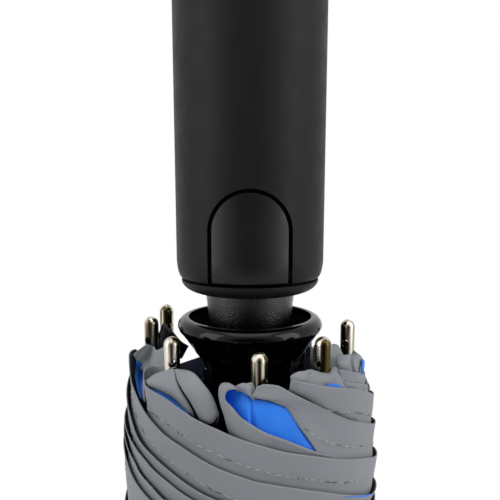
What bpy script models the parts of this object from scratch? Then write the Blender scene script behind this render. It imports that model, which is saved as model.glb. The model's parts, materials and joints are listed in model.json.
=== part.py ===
"""Compact automatic umbrella, closed and furled, standing on its ferrule cap with the handle up.

Metres, +Z towards the handle, origin at the centre of the ferrule cap's flat face.
"""
import bmesh
import bpy
import math
from mathutils import Euler, Matrix, Vector

# Whole object
CLOSED_LENGTH = 0.290
FIT_GAP = 0.0003
SLIDE_GAP = 0.0004
CUT_OVERRUN = 0.002
MERGE_DISTANCE = 0.00001
RIB_COUNT = 8

# Handle
HANDLE_LENGTH = 0.081
HANDLE_END_RADIUS = 0.0180
HANDLE_TAPER = 0.00045
HANDLE_LIP_INSET = 0.0011
HANDLE_LIP_HEIGHT = 0.0048
HANDLE_WALL = 0.00305
CAP_HEIGHT = 0.0028
CAP_EDGE_ROUND = 0.0012
CAP_PLUG_DEPTH = 0.0030
NOSE_HEIGHT = 0.0045
NOSE_FOOT_RADIUS = 0.0109
STRAP_SLOT_LENGTH = 0.0100
STRAP_SLOT_WIDTH = 0.0045
STRAP_SLOT_DEPTH = 0.0036
STRAP_BAR_WIDTH = 0.0016
STRAP_BAR_DEPTH = 0.0014

# Neck below the handle
NECK_TOP_RADIUS = 0.01005
NECK_FOOT_RADIUS = 0.0096
NECK_SLEEVE_GAP = 0.0038
NECK_RISE = 0.0018

# Push button in its arched window
BUTTON_WIDTH = 0.0168
BUTTON_HEIGHT = 0.0198
BUTTON_GAP = 0.0005
BUTTON_TRAVEL = 0.0020
BUTTON_PAWL_GAP = 0.0006
BUTTON_CROWN_DEPTH = 0.0002

# Latch behind the button
PAWL_WIDTH = 0.0060
PAWL_THICKNESS = 0.0030
PAWL_HEIGHT = 0.0095
PAWL_CLEARANCE = 0.0004
SPRING_HEIGHT = 0.0068
SPRING_RADIUS = 0.0010
SPRING_WIRE_RADIUS = 0.00024
SPRING_TURNS = 5
SPRING_STEPS = 9
CORE_WELL_WALL = 0.0016

# Telescoping shaft, widest tube at the crown
TUBE_WALL = 0.0006
TOP_TUBE_RADIUS = 0.0069
TOP_TUBE_LIFT = 0.0009
TOP_TUBE_DROP = 0.0080
TUBE_STEP_DOWN = 0.0015
MIDDLE_TUBE_LIFT = 0.0010
MIDDLE_TUBE_DROP = 0.0030
BOTTOM_TUBE_DROP = 0.0200
DRIVE_SPRING_WALL = 0.0012
DRIVE_SPRING_DROP = 0.0190

# Crown
FERRULE_HEIGHT = 0.0060
FERRULE_RADIUS = 0.0120
FERRULE_ROUND = 0.0022
FERRULE_STEM_HEIGHT = 0.0080
CLOTH_THICKNESS = 0.0008
HUB_HEIGHT = 0.0160
HUB_RIM = 0.0017
HUB_SLOT_WIDTH = 0.0019
CROWN_PIVOT_OFFSET = 0.0027
CROWN_PIVOT_RISE = 0.0096
CROWN_WIRE_RADIUS = 0.00045
CROWN_WIRE_STEPS = 32
CROWN_WIRE_SIDES = 6

# Runner and its flared cup
RUNNER_SLEEVE_WALL = 0.0024
RUNNER_FLANGE_WIDTH = 0.0017
RUNNER_FLANGE_HALF_HEIGHT = 0.0036
RUNNER_PIVOT_INSET = 0.0007
RUNNER_SLEEVE_RISE = 0.0088
CUP_RIM_RADIUS = 0.0175
CUP_RIM_ROUND = 0.0021
CUP_NOSE_GAP = 0.0050
CUP_HEIGHT = 0.0212
CUP_MOUTH_RADIUS = 0.0150
CUP_FOOT_WALL = 0.0010

# Ribs, seen in the plane of one rib: distance from the shaft, and height
RIB_THICKNESS = 0.0020
KNUCKLE_RISE = 0.0100
ELBOW_RISE = 0.0030
INNER_FOOT_OFFSET = 0.0003
INNER_FLANGE_OFFSET = 0.0017
KNUCKLE_OFFSET = 0.0020
MIDDLE_HEAD_OFFSET = 0.0012
MIDDLE_FOOT_OFFSET = 0.0038
ELBOW_OFFSET = 0.0013
STRETCHER_FOOT_OFFSET = 0.0020
STRETCHER_HEAD_OFFSET = 0.0025
STRETCHER_THICKNESS = 0.0016
INNER_WIDTH = 0.0030
MIDDLE_WIDTH = 0.0026
OUTER_WIDTH = 0.0022
STRETCHER_WIDTH = 0.0022
FORK_GAP = 0.0015
TONGUE_WIDTH = 0.0009
CROWN_TONGUE_WIDTH = 0.0013
JOINT_REACH = 0.0050
OFFSET_REACH = 0.0060
WINDOW_REACH = 0.0062
CROWN_EYE_RADIUS = 0.0008
RIB_END_WIDTH = 0.0012

# Rib tips
TIP_RING_RADIUS = 0.0240
TIP_RIM_DROP = 0.0008
TIP_RADIUS = 0.00172
TIP_LENGTH = 0.0100
TIP_BORE_RADIUS = 0.00105
TIP_BORE_DEPTH = 0.0078
TIP_EYE_RADIUS = 0.00062
TIP_EYE_DROP = 0.0062
TIP_SEAT_DEPTH = 0.0067
RIB_SHOULDER_DEPTH = 0.0122

# Furled canopy
CANOPY_FOOT_CLEARANCE = 0.0018
CANOPY_HEAD_CLEARANCE = 0.0022
CANOPY_FOOT_DEPTH = 0.0019
CANOPY_WAIST_OFFSET = 0.0008
CANOPY_FULL_OFFSET = 0.0032
CANOPY_FULL_DROP = 0.0387
CANOPY_HEAD_DEPTH = 0.0007
CANOPY_PLEAT = 0.0022
CANOPY_EDGE_DROP = 0.0152
CANOPY_PEAK_DROP = 0.0082
CANOPY_SHOULDER_RISE = 0.0040
CANOPY_SHOULDER_DROP = 0.0085
CANOPY_HEAD_WALL = 0.0008
CANOPY_COLUMNS_PER_RIB = 7
CANOPY_TURN = math.radians(220)

# Tie strap round the furled canopy
STRAP_HEIGHT = 0.1050
STRAP_WIDTH = 0.0140
STRAP_THICKNESS = 0.0009
SNAP_RADIUS = 0.0050
SNAP_HEIGHT = 0.0012

# Where each rib lies round the shaft, from the front and turning to the right, in degrees
RIB_FIRST_ANGLE = 2.0
RIB_PITCH_ANGLE = 360.0 / RIB_COUNT
TIP_SWAY_ANGLES = (2.6, -7.3, -0.5, 0.0, 0.0, 19.4, -0.6, -0.9)
TIP_RAISE_SHARES = (-0.16, 0.02, -0.06, 0.0, 0.0, 0.14, 0.04, -0.01)

# How far up the inner rib the stretcher is pinned, of the height between crown and runner pivots
STRETCHER_PIVOT_SHARE = 0.4516

# Heights that follow from the sizes above
CAP_SEAT = CLOSED_LENGTH - CAP_HEIGHT
SEAM_HEIGHT = CLOSED_LENGTH - HANDLE_LENGTH
NOSE_FOOT = SEAM_HEIGHT - NOSE_HEIGHT
NECK_TOP = SEAM_HEIGHT + NECK_RISE
CORE_FOOT = NECK_TOP + FIT_GAP
CORE_HEAD = CAP_SEAT - CAP_PLUG_DEPTH - FIT_GAP
BUTTON_FOOT = SEAM_HEIGHT + FIT_GAP
HUB_FOOT = FERRULE_HEIGHT + CLOTH_THICKNESS + 2 * FIT_GAP
HUB_HEAD = HUB_FOOT + HUB_HEIGHT
CROWN_PIVOT_HEIGHT = HUB_FOOT + CROWN_PIVOT_RISE
CUP_RIM_TOP = NOSE_FOOT - CUP_NOSE_GAP
CUP_RIM_HEIGHT = CUP_RIM_TOP - CUP_RIM_ROUND
CUP_FOOT = CUP_RIM_HEIGHT - CUP_HEIGHT
RUNNER_SLEEVE_HEAD = CUP_FOOT + RUNNER_SLEEVE_RISE
RUNNER_PIVOT_HEIGHT = CUP_FOOT - 2 * FIT_GAP - RUNNER_FLANGE_HALF_HEIGHT
NECK_FOOT = RUNNER_SLEEVE_HEAD + NECK_SLEEVE_GAP
TOP_TUBE_FOOT = HUB_FOOT + TOP_TUBE_LIFT
TOP_TUBE_HEAD = SEAM_HEIGHT - TOP_TUBE_DROP
MIDDLE_TUBE_FOOT = FERRULE_HEIGHT + FERRULE_STEM_HEIGHT + MIDDLE_TUBE_LIFT
MIDDLE_TUBE_HEAD = SEAM_HEIGHT - MIDDLE_TUBE_DROP
BOTTOM_TUBE_FOOT = MIDDLE_TUBE_FOOT + TUBE_STEP_DOWN
BOTTOM_TUBE_HEAD = CLOSED_LENGTH - BOTTOM_TUBE_DROP
DRIVE_SPRING_HEAD = SEAM_HEIGHT - DRIVE_SPRING_DROP
KNUCKLE_PIVOT_HEIGHT = RUNNER_PIVOT_HEIGHT + KNUCKLE_RISE
ELBOW_PIVOT_HEIGHT = CROWN_PIVOT_HEIGHT + ELBOW_RISE
STRETCHER_PIVOT_HEIGHT = CROWN_PIVOT_HEIGHT + (RUNNER_PIVOT_HEIGHT - CROWN_PIVOT_HEIGHT) * STRETCHER_PIVOT_SHARE
TIP_TOP = CUP_RIM_TOP - TIP_RIM_DROP
TIP_SEAT = TIP_TOP - TIP_SEAT_DEPTH
RIB_SHOULDER = TIP_TOP - RIB_SHOULDER_DEPTH
CANOPY_WAIST_HEIGHT = STRAP_HEIGHT
CANOPY_FULL_HEIGHT = TIP_TOP - CANOPY_FULL_DROP
CANOPY_EDGE_HEIGHT = TIP_TOP - CANOPY_EDGE_DROP
CANOPY_PEAK_HEIGHT = TIP_TOP - CANOPY_PEAK_DROP
CANOPY_SHOULDER_HEIGHT = ELBOW_PIVOT_HEIGHT + CANOPY_SHOULDER_RISE

# Radii that follow from the sizes above, from the shaft outward
MIDDLE_TUBE_RADIUS = TOP_TUBE_RADIUS - TUBE_WALL - SLIDE_GAP
BOTTOM_TUBE_RADIUS = MIDDLE_TUBE_RADIUS - TUBE_WALL - SLIDE_GAP
DRIVE_SPRING_RADIUS = BOTTOM_TUBE_RADIUS - TUBE_WALL - SLIDE_GAP
HANDLE_SEAM_RADIUS = HANDLE_END_RADIUS - HANDLE_TAPER
HANDLE_LIP_RADIUS = HANDLE_SEAM_RADIUS - HANDLE_LIP_INSET
HANDLE_BORE_RADIUS = HANDLE_SEAM_RADIUS - HANDLE_WALL
CORE_BUTTON_DEPTH = BOTTOM_TUBE_RADIUS + CORE_WELL_WALL
PAWL_BACK = CORE_BUTTON_DEPTH + PAWL_CLEARANCE
BUTTON_BACK = PAWL_BACK + PAWL_THICKNESS + BUTTON_TRAVEL + BUTTON_PAWL_GAP
RUNNER_SLEEVE_RADIUS = TOP_TUBE_RADIUS + RUNNER_SLEEVE_WALL
RUNNER_FLANGE_RADIUS = RUNNER_SLEEVE_RADIUS + RUNNER_FLANGE_WIDTH
RUNNER_PIVOT_RADIUS = RUNNER_FLANGE_RADIUS - RUNNER_PIVOT_INSET
CUP_FOOT_RADIUS = RUNNER_SLEEVE_RADIUS + CUP_FOOT_WALL
CROWN_PIVOT_RADIUS = TOP_TUBE_RADIUS + CROWN_PIVOT_OFFSET
HUB_RADIUS = CROWN_PIVOT_RADIUS + HUB_RIM
STRETCHER_FOOT_RADIUS = TOP_TUBE_RADIUS + STRETCHER_FOOT_OFFSET
STRETCHER_HEAD_RADIUS = TOP_TUBE_RADIUS + STRETCHER_HEAD_OFFSET
INNER_FOOT_RADIUS = CROWN_PIVOT_RADIUS + INNER_FOOT_OFFSET
INNER_HEAD_RADIUS = RUNNER_FLANGE_RADIUS + INNER_FLANGE_OFFSET
KNUCKLE_PIVOT_RADIUS = INNER_HEAD_RADIUS + KNUCKLE_OFFSET
MIDDLE_HEAD_RADIUS = KNUCKLE_PIVOT_RADIUS + MIDDLE_HEAD_OFFSET
MIDDLE_FOOT_RADIUS = INNER_FOOT_RADIUS + MIDDLE_FOOT_OFFSET
ELBOW_PIVOT_RADIUS = MIDDLE_FOOT_RADIUS + ELBOW_OFFSET
OUTER_FOOT_RADIUS = ELBOW_PIVOT_RADIUS + ELBOW_OFFSET
CANOPY_INNER_FOOT_RADIUS = OUTER_FOOT_RADIUS + CANOPY_FOOT_CLEARANCE
CANOPY_INNER_HEAD_RADIUS = TIP_RING_RADIUS + CANOPY_HEAD_CLEARANCE
CANOPY_FOOT_RADIUS = CANOPY_INNER_FOOT_RADIUS + CANOPY_FOOT_DEPTH
CANOPY_WAIST_RADIUS = TIP_RING_RADIUS + CANOPY_WAIST_OFFSET
CANOPY_FULL_RADIUS = TIP_RING_RADIUS + CANOPY_FULL_OFFSET
CANOPY_HEAD_RADIUS = CANOPY_INNER_HEAD_RADIUS + CANOPY_HEAD_DEPTH
HALF_RIB = RIB_THICKNESS / 2

VISIBLE_STEPS = 48
HIDDEN_STEPS = 28
SMOOTH_ANGLE = math.radians(35)


def clear_scene():
    for old_object in list(bpy.data.objects):
        bpy.data.objects.remove(old_object, do_unlink=True)


def new_collection(name):
    collection = bpy.data.collections.new(name)
    bpy.context.scene.collection.children.link(collection)
    return collection


def new_material(name, colour, roughness, metallic=0.0):
    material = bpy.data.materials.new(name)
    material.use_nodes = True
    shader = material.node_tree.nodes["Principled BSDF"]
    shader.inputs["Base Color"].default_value = (*colour, 1.0)
    shader.inputs["Roughness"].default_value = roughness
    shader.inputs["Metallic"].default_value = metallic
    material.diffuse_color = (*colour, 1.0)
    return material


def add_object(name, data, collection, material=None):
    part = bpy.data.objects.new(name, data)
    collection.objects.link(part)
    if material is not None:
        data.materials.append(material)
    return part


def turned(name, profile, closed, steps, collection, material):
    """A profile of (radius, height) points, top to bottom on its outer side, spun round Z."""
    mesh = bpy.data.meshes.new(name)
    points = [(radius, 0.0, height) for radius, height in profile]
    edges = [(index, index + 1) for index in range(len(points) - 1)]
    if closed:
        edges.append((len(points) - 1, 0))
    mesh.from_pydata(points, edges, [])
    part = add_object(name, mesh, collection, material)
    screw = part.modifiers.new("Turn", "SCREW")
    screw.axis = "Z"
    screw.steps = steps
    screw.render_steps = steps
    screw.use_merge_vertices = True
    screw.merge_threshold = MERGE_DISTANCE
    return part


def arc(centre, radius, start, end, count):
    """Points on an arc in the plane of a profile; angles from the radial axis, in degrees."""
    points = []
    for index in range(count + 1):
        angle = math.radians(start + (end - start) * index / count)
        point = (centre[0] + radius * math.cos(angle), centre[1] + radius * math.sin(angle))
        points.append(point)
    return points


def hide_cutter(cutter, cutters):
    for owner in list(cutter.users_collection):
        owner.objects.unlink(cutter)
    cutters.objects.link(cutter)
    cutter.hide_render = True
    cutter.display_type = "WIRE"
    return cutter


def box_between(name, low, high, cutters):
    """A box given by two opposite corners."""
    bpy.ops.mesh.primitive_cube_add(size=1)
    box = bpy.context.object
    box.name = name
    middle = (Vector(low) + Vector(high)) / 2
    sides = Vector(high) - Vector(low)
    box.data.transform(Matrix.Translation(middle) @ Matrix.Diagonal((*sides, 1.0)))
    return hide_cutter(box, cutters)


def rod_between(name, start, end, radius, sides, cutters):
    """A round rod from one point to another."""
    way = Vector(end) - Vector(start)
    bpy.ops.mesh.primitive_cylinder_add(vertices=sides, radius=radius, depth=way.length)
    rod = bpy.context.object
    rod.name = name
    turn = Vector((0, 0, 1)).rotation_difference(way).to_matrix().to_4x4()
    rod.data.transform(Matrix.Translation((Vector(start) + Vector(end)) / 2) @ turn)
    return hide_cutter(rod, cutters)


def boolean(part, cutter, operation="DIFFERENCE"):
    step = part.modifiers.new(operation.title(), "BOOLEAN")
    step.operation = operation
    step.solver = "EXACT"
    step.object = cutter
    return step


def evaluated_mesh(part, name):
    depsgraph = bpy.context.evaluated_depsgraph_get()
    return bpy.data.meshes.new_from_object(part.evaluated_get(depsgraph), depsgraph=depsgraph)


def weld(mesh):
    shape = bmesh.new()
    shape.from_mesh(mesh)
    bmesh.ops.remove_doubles(shape, verts=shape.verts, dist=MERGE_DISTANCE)
    shape.to_mesh(mesh)
    shape.free()


def smooth(part):
    part.data.shade_smooth()
    part.data.set_sharp_from_angle(angle=SMOOTH_ANGLE)


def plate(name, outline, thickness, collection, material):
    """A flat outline in the XZ plane, made a mesh, with its thickness along Y."""
    curve = bpy.data.curves.new(name, "CURVE")
    curve.dimensions = "2D"
    curve.fill_mode = "BOTH"
    curve.extrude = thickness / 2
    spline = curve.splines.new("POLY")
    spline.points.add(len(outline) - 1)
    for point, (across, up) in zip(spline.points, outline):
        point.co = (across, up, 0.0, 1.0)
    spline.use_cyclic_u = True
    drawing = add_object(name + "_outline", curve, collection)
    bpy.context.view_layer.update()
    mesh = evaluated_mesh(drawing, name)
    bpy.data.objects.remove(drawing, do_unlink=True)
    weld(mesh)
    mesh.transform(Matrix.Rotation(math.radians(90), 4, "X"))
    mesh.name = name
    return add_object(name, mesh, collection, material)


def strip_outline(path, half_widths):
    """The outline of a bent strip along a path, with round ends centred on its end points."""
    ways = []
    for here, there in zip(path[:-1], path[1:]):
        ways.append((Vector(there) - Vector(here)).normalized())
    left = []
    right = []
    for index, point in enumerate(path):
        before = ways[max(index - 1, 0)]
        after = ways[min(index, len(ways) - 1)]
        across = Vector((-before.y - after.y, before.x + after.x)).normalized()
        stretch = 1.0 / max(across.dot(Vector((-after.y, after.x))), 0.5)
        left.append(Vector(point) + across * half_widths[index] * stretch)
        right.append(Vector(point) - across * half_widths[index] * stretch)
    first_angle = math.degrees(math.atan2(ways[0].y, ways[0].x))
    last_angle = math.degrees(math.atan2(ways[-1].y, ways[-1].x))
    start_cap = arc(path[0], half_widths[0], first_angle + 90, first_angle + 270, 4)
    end_cap = arc(path[-1], half_widths[-1], last_angle - 90, last_angle + 90, 4)
    outline = start_cap + [tuple(point) for point in right[1:-1]]
    outline += end_cap + [tuple(point) for point in reversed(left[1:-1])]
    return outline


def local(path, pivot):
    return [(radius - pivot[0], height - pivot[1]) for radius, height in path]


def trim_tongue(part, low, high, tongue, width, cutters):
    """Cuts both sides of a strip away between two heights, which leaves a thin tongue."""
    reach = JOINT_REACH + RIB_THICKNESS
    for side in (-1, 1):
        near = side * tongue / 2
        far = side * (width / 2 + CUT_OVERRUN)
        low_corner = (low[0] - reach, min(near, far), low[1])
        high_corner = (high[0] + reach, max(near, far), high[1])
        cutter = box_between(part.name + "_side_cut", low_corner, high_corner, cutters)
        boolean(part, cutter)


def cut_slot(part, low, high, gap, cutters):
    """Cuts a slot of one width through the middle of a strip between two heights."""
    reach = JOINT_REACH + RIB_THICKNESS
    low_corner = (low[0] - reach, -gap / 2, low[1])
    high_corner = (high[0] + reach, gap / 2, high[1])
    boolean(part, box_between(part.name + "_slot_cut", low_corner, high_corner, cutters))


def settle(part):
    """Applies a pattern part's cuts, so that its copies can share the mesh."""
    bpy.context.view_layer.update()
    mesh = evaluated_mesh(part, part.name)
    mesh.name = part.name
    bpy.data.objects.remove(part, do_unlink=True)
    return mesh


CROWN_PIVOT = (CROWN_PIVOT_RADIUS, CROWN_PIVOT_HEIGHT)
KNUCKLE_PIVOT = (KNUCKLE_PIVOT_RADIUS, KNUCKLE_PIVOT_HEIGHT)
ELBOW_PIVOT = (ELBOW_PIVOT_RADIUS, ELBOW_PIVOT_HEIGHT)
RUNNER_PIVOT = (RUNNER_PIVOT_RADIUS, RUNNER_PIVOT_HEIGHT)


def inner_rib_path():
    foot = (INNER_FOOT_RADIUS, CROWN_PIVOT_HEIGHT + JOINT_REACH)
    head = (INNER_HEAD_RADIUS, KNUCKLE_PIVOT_HEIGHT - OFFSET_REACH)
    return [CROWN_PIVOT, foot, head, KNUCKLE_PIVOT]


def stretcher_pivot():
    """The point on the inner rib's middle line where the stretcher is pinned."""
    foot, head = inner_rib_path()[1:3]
    share = (STRETCHER_PIVOT_HEIGHT - foot[1]) / (head[1] - foot[1])
    return (foot[0] + (head[0] - foot[0]) * share, STRETCHER_PIVOT_HEIGHT)


def inner_rib_mesh(parts, cutters):
    path = local(inner_rib_path(), CROWN_PIVOT)
    rib = plate("inner_rib", strip_outline(path, [HALF_RIB] * 4), INNER_WIDTH, parts, None)
    foot_cut = (-RIB_THICKNESS, -CUT_OVERRUN)
    foot_end = (RIB_THICKNESS, HUB_HEAD - CROWN_PIVOT_HEIGHT + FIT_GAP)
    trim_tongue(rib, foot_cut, foot_end, CROWN_TONGUE_WIDTH, INNER_WIDTH, cutters)
    head = path[-1]
    cut_slot(rib, (head[0], head[1] - JOINT_REACH), (head[0], head[1] + CUT_OVERRUN), FORK_GAP, cutters)
    pin = local([stretcher_pivot()], CROWN_PIVOT)[0]
    low = (pin[0], pin[1] - WINDOW_REACH)
    high = (pin[0], pin[1] + WINDOW_REACH)
    cut_slot(rib, low, high, FORK_GAP, cutters)
    eye_reach = INNER_WIDTH + CUT_OVERRUN
    eye = rod_between("crown_eye_cut", (0, -eye_reach, 0), (0, eye_reach, 0), CROWN_EYE_RADIUS, 8, cutters)
    boolean(rib, eye)
    return settle(rib)


def middle_rib_mesh(parts, cutters):
    head = (MIDDLE_HEAD_RADIUS, KNUCKLE_PIVOT_HEIGHT - OFFSET_REACH)
    foot = (MIDDLE_FOOT_RADIUS, ELBOW_PIVOT_HEIGHT + OFFSET_REACH)
    path = local([KNUCKLE_PIVOT, head, foot, ELBOW_PIVOT], KNUCKLE_PIVOT)
    rib = plate("middle_rib", strip_outline(path, [HALF_RIB] * 4), MIDDLE_WIDTH, parts, None)
    tongue_low = (0, -JOINT_REACH)
    trim_tongue(rib, tongue_low, (0, CUT_OVERRUN), TONGUE_WIDTH, MIDDLE_WIDTH, cutters)
    elbow = path[-1]
    low = (elbow[0], elbow[1] - CUT_OVERRUN)
    cut_slot(rib, low, (elbow[0], elbow[1] + JOINT_REACH), FORK_GAP, cutters)
    return settle(rib)


def outer_rib_mesh(parts, cutters):
    foot = (OUTER_FOOT_RADIUS, ELBOW_PIVOT_HEIGHT + OFFSET_REACH)
    shoulder = (TIP_RING_RADIUS, RIB_SHOULDER)
    path = local([ELBOW_PIVOT, foot, shoulder, (TIP_RING_RADIUS, TIP_SEAT)], ELBOW_PIVOT)
    half_end = RIB_END_WIDTH / 2
    outline = strip_outline(path, [HALF_RIB, HALF_RIB, half_end, half_end])
    rib = plate("outer_rib", outline, OUTER_WIDTH, parts, None)
    trim_tongue(rib, (0, -CUT_OVERRUN), (0, JOINT_REACH), TONGUE_WIDTH, OUTER_WIDTH, cutters)
    end = path[-1]
    low = (end[0], path[-2][1])
    trim_tongue(rib, low, (end[0], end[1] + CUT_OVERRUN), RIB_END_WIDTH, OUTER_WIDTH, cutters)
    return settle(rib)


def stretcher_mesh(parts, cutters):
    pin = stretcher_pivot()
    foot = (STRETCHER_FOOT_RADIUS, pin[1] + OFFSET_REACH)
    head = (STRETCHER_HEAD_RADIUS, RUNNER_PIVOT_HEIGHT - OFFSET_REACH)
    path = local([pin, foot, head, RUNNER_PIVOT], pin)
    half = STRETCHER_THICKNESS / 2
    bar = plate("stretcher", strip_outline(path, [half] * 4), STRETCHER_WIDTH, parts, None)
    trim_tongue(bar, (0, -CUT_OVERRUN), (0, OFFSET_REACH), TONGUE_WIDTH, STRETCHER_WIDTH, cutters)
    end = path[-1]
    low = (end[0], end[1] - RUNNER_FLANGE_HALF_HEIGHT - FIT_GAP)
    trim_tongue(bar, low, (end[0], end[1] + CUT_OVERRUN), CROWN_TONGUE_WIDTH, STRETCHER_WIDTH, cutters)
    return settle(bar)


def tip_mesh(parts, cutters):
    """A domed cap, its top at the origin, with a bore for the rib and a sewing eye across."""
    dome = arc((0.0, -TIP_RADIUS), TIP_RADIUS, 90, 0, 4)
    bore_top = TIP_BORE_DEPTH - TIP_LENGTH
    profile = dome + [(TIP_RADIUS, -TIP_LENGTH), (TIP_BORE_RADIUS, -TIP_LENGTH)]
    profile += [(TIP_BORE_RADIUS, bore_top), (0.0, bore_top + TIP_BORE_RADIUS / 2)]
    tip = turned("rib_tip", profile, False, 14, parts, None)
    reach = TIP_RADIUS + CUT_OVERRUN
    start = (0, 0, -TIP_EYE_DROP)
    boolean(tip, rod_between("tip_eye_cut", start, (reach, 0, -TIP_EYE_DROP), TIP_EYE_RADIUS, 8, cutters))
    return settle(tip)


def rib_azimuth(index):
    """The turn about Z that carries the +X axis to this rib's side of the shaft."""
    return math.radians(RIB_FIRST_ANGLE + RIB_PITCH_ANGLE * index - 90.0)


def sway_turn(index):
    """The small lean that the furled cloth gives an outer rib about its elbow."""
    sway = math.radians(TIP_SWAY_ANGLES[index])
    rise = TIP_TOP - ELBOW_PIVOT_HEIGHT
    straight = Vector((TIP_RING_RADIUS - ELBOW_PIVOT_RADIUS, 0, rise))
    across = TIP_RING_RADIUS * math.cos(sway) - ELBOW_PIVOT_RADIUS
    leaning = Vector((across, TIP_RING_RADIUS * math.sin(sway), rise))
    return straight.rotation_difference(leaning)


def place(name, mesh, parent, pivot, parts, material):
    part = add_object(name, mesh, parts)
    if not mesh.materials:
        mesh.materials.append(material)
    part.parent = parent
    part.location = (pivot[0], 0.0, pivot[1])
    return part


def build_ribs(parts, cutters, steel, nickel):
    inner = inner_rib_mesh(parts, cutters)
    middle = middle_rib_mesh(parts, cutters)
    outer = outer_rib_mesh(parts, cutters)
    stretcher = stretcher_mesh(parts, cutters)
    tip = tip_mesh(parts, cutters)
    for index in range(RIB_COUNT):
        number = str(index + 1)
        spoke = bpy.data.objects.new("rib_plane_" + number, None)
        parts.objects.link(spoke)
        spoke.rotation_euler = Euler((0, 0, rib_azimuth(index)))
        place("inner_rib_" + number, inner, spoke, CROWN_PIVOT, parts, steel)
        place("stretcher_" + number, stretcher, spoke, stretcher_pivot(), parts, steel)
        place("middle_rib_" + number, middle, spoke, KNUCKLE_PIVOT, parts, steel)
        outer_rib = place("outer_rib_" + number, outer, spoke, ELBOW_PIVOT, parts, steel)
        outer_rib.rotation_mode = "QUATERNION"
        outer_rib.rotation_quaternion = sway_turn(index)
        rise = TIP_TOP + TIP_LENGTH * TIP_RAISE_SHARES[index] - ELBOW_PIVOT_HEIGHT
        seat = (TIP_RING_RADIUS - ELBOW_PIVOT_RADIUS, rise)
        place("rib_tip_" + number, tip, outer_rib, seat, parts, nickel)


LIP_SHARES = (0.3, 0.6, 0.85, 1.0)
LIP_TURN_SHARE = 0.9


def handle_side(height_from, height_to, inset):
    """The handle's outer side as profile points, from one height down to another."""
    lip_top = SEAM_HEIGHT + HANDLE_LIP_HEIGHT
    full = [(HANDLE_END_RADIUS, CAP_SEAT), (HANDLE_SEAM_RADIUS, lip_top)]
    drop = HANDLE_SEAM_RADIUS - HANDLE_LIP_RADIUS
    for share in LIP_SHARES:
        fall = 1 - math.sqrt(1 - LIP_TURN_SHARE * share * share)
        radius = HANDLE_SEAM_RADIUS - drop * fall / (1 - math.sqrt(1 - LIP_TURN_SHARE))
        full.append((radius, lip_top - (HANDLE_LIP_HEIGHT - FIT_GAP / 2) * share))
    points = []
    for radius, height in full:
        clipped = min(max(height, height_to), height_from)
        points.append((radius - inset, clipped))
    return points


def build_handle_shell(parts, cutters, material):
    foot = SEAM_HEIGHT + FIT_GAP / 2
    profile = handle_side(CAP_SEAT, foot, 0.0)
    profile += [(HANDLE_BORE_RADIUS, foot), (HANDLE_BORE_RADIUS, CAP_SEAT)]
    shell = turned("handle_shell", profile, True, VISIBLE_STEPS, parts, material)
    window = arch_cutter("button_window", BUTTON_WIDTH + 2 * BUTTON_GAP, BUTTON_HEIGHT + BUTTON_GAP, cutters)
    boolean(shell, window)
    smooth(shell)


def arch_outline(width, height, foot):
    """An arch: straight sides below, and a flattened round head."""
    half = width / 2
    spring = foot + height - half
    outline = [(-half, foot), (half, foot)]
    outline += arc((0.0, spring), half, 0, 180, 12)
    return outline


def arch_cutter(name, width, height, cutters):
    """An arch-shaped block that reaches from inside the handle out past its front."""
    foot = SEAM_HEIGHT - CUT_OVERRUN
    outline = arch_outline(width, height + SEAM_HEIGHT - foot, foot)
    front = HANDLE_END_RADIUS + CUT_OVERRUN
    back = BUTTON_BACK - BUTTON_TRAVEL - CUT_OVERRUN
    block = plate(name, outline, front - back, cutters, None)
    block.data.transform(Matrix.Translation((0, -(front + back) / 2, 0)))
    return hide_cutter(block, cutters)


def build_button(parts, cutters, material):
    """The button is the handle's own front, cut to the arch, so that its face lies flush."""
    head = BUTTON_FOOT + BUTTON_HEIGHT + CUT_OVERRUN
    profile = [(0.0, head)] + handle_side(head, BUTTON_FOOT, BUTTON_CROWN_DEPTH)
    profile.append((0.0, BUTTON_FOOT))
    button = turned("push_button", profile, False, VISIBLE_STEPS * 2, parts, material)
    outline = arch_outline(BUTTON_WIDTH, BUTTON_HEIGHT + CUT_OVERRUN, BUTTON_FOOT - CUT_OVERRUN)
    front = HANDLE_END_RADIUS + CUT_OVERRUN
    block = plate("button_arch", outline, front - BUTTON_BACK, cutters, None)
    block.data.transform(Matrix.Translation((0, -(front + BUTTON_BACK) / 2, 0)))
    hide_cutter(block, cutters)
    boolean(button, block, "INTERSECT")
    smooth(button)


def build_end_cap(parts, cutters, material):
    plug_foot = CAP_SEAT - CAP_PLUG_DEPTH
    seat = CAP_SEAT + FIT_GAP
    rounded = arc((HANDLE_END_RADIUS - CAP_EDGE_ROUND, CLOSED_LENGTH - CAP_EDGE_ROUND), CAP_EDGE_ROUND, 90, 0, 3)
    plug_radius = HANDLE_BORE_RADIUS - FIT_GAP
    profile = [(0.0, CLOSED_LENGTH)] + rounded + [(HANDLE_END_RADIUS, seat), (plug_radius, seat)]
    profile += [(plug_radius, plug_foot), (0.0, plug_foot)]
    cap = turned("handle_end_cap", profile, False, VISIBLE_STEPS, parts, material)
    half_length = STRAP_SLOT_LENGTH / 2
    half_width = STRAP_SLOT_WIDTH / 2
    half_bar = STRAP_BAR_WIDTH / 2
    top = CLOSED_LENGTH + CUT_OVERRUN
    floor = CLOSED_LENGTH - STRAP_SLOT_DEPTH
    for side in (-1, 1):
        near = min(side * half_bar, side * half_length)
        far = max(side * half_bar, side * half_length)
        pocket = box_between("strap_pocket_cut", (near, -half_width, floor), (far, half_width, top), cutters)
        boolean(cap, pocket)
    roof = CLOSED_LENGTH - STRAP_BAR_DEPTH
    low = (-half_length + half_bar, -half_width, floor)
    tunnel = box_between("strap_tunnel_cut", low, (half_length - half_bar, half_width, roof), cutters)
    boolean(cap, tunnel)
    smooth(cap)


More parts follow.
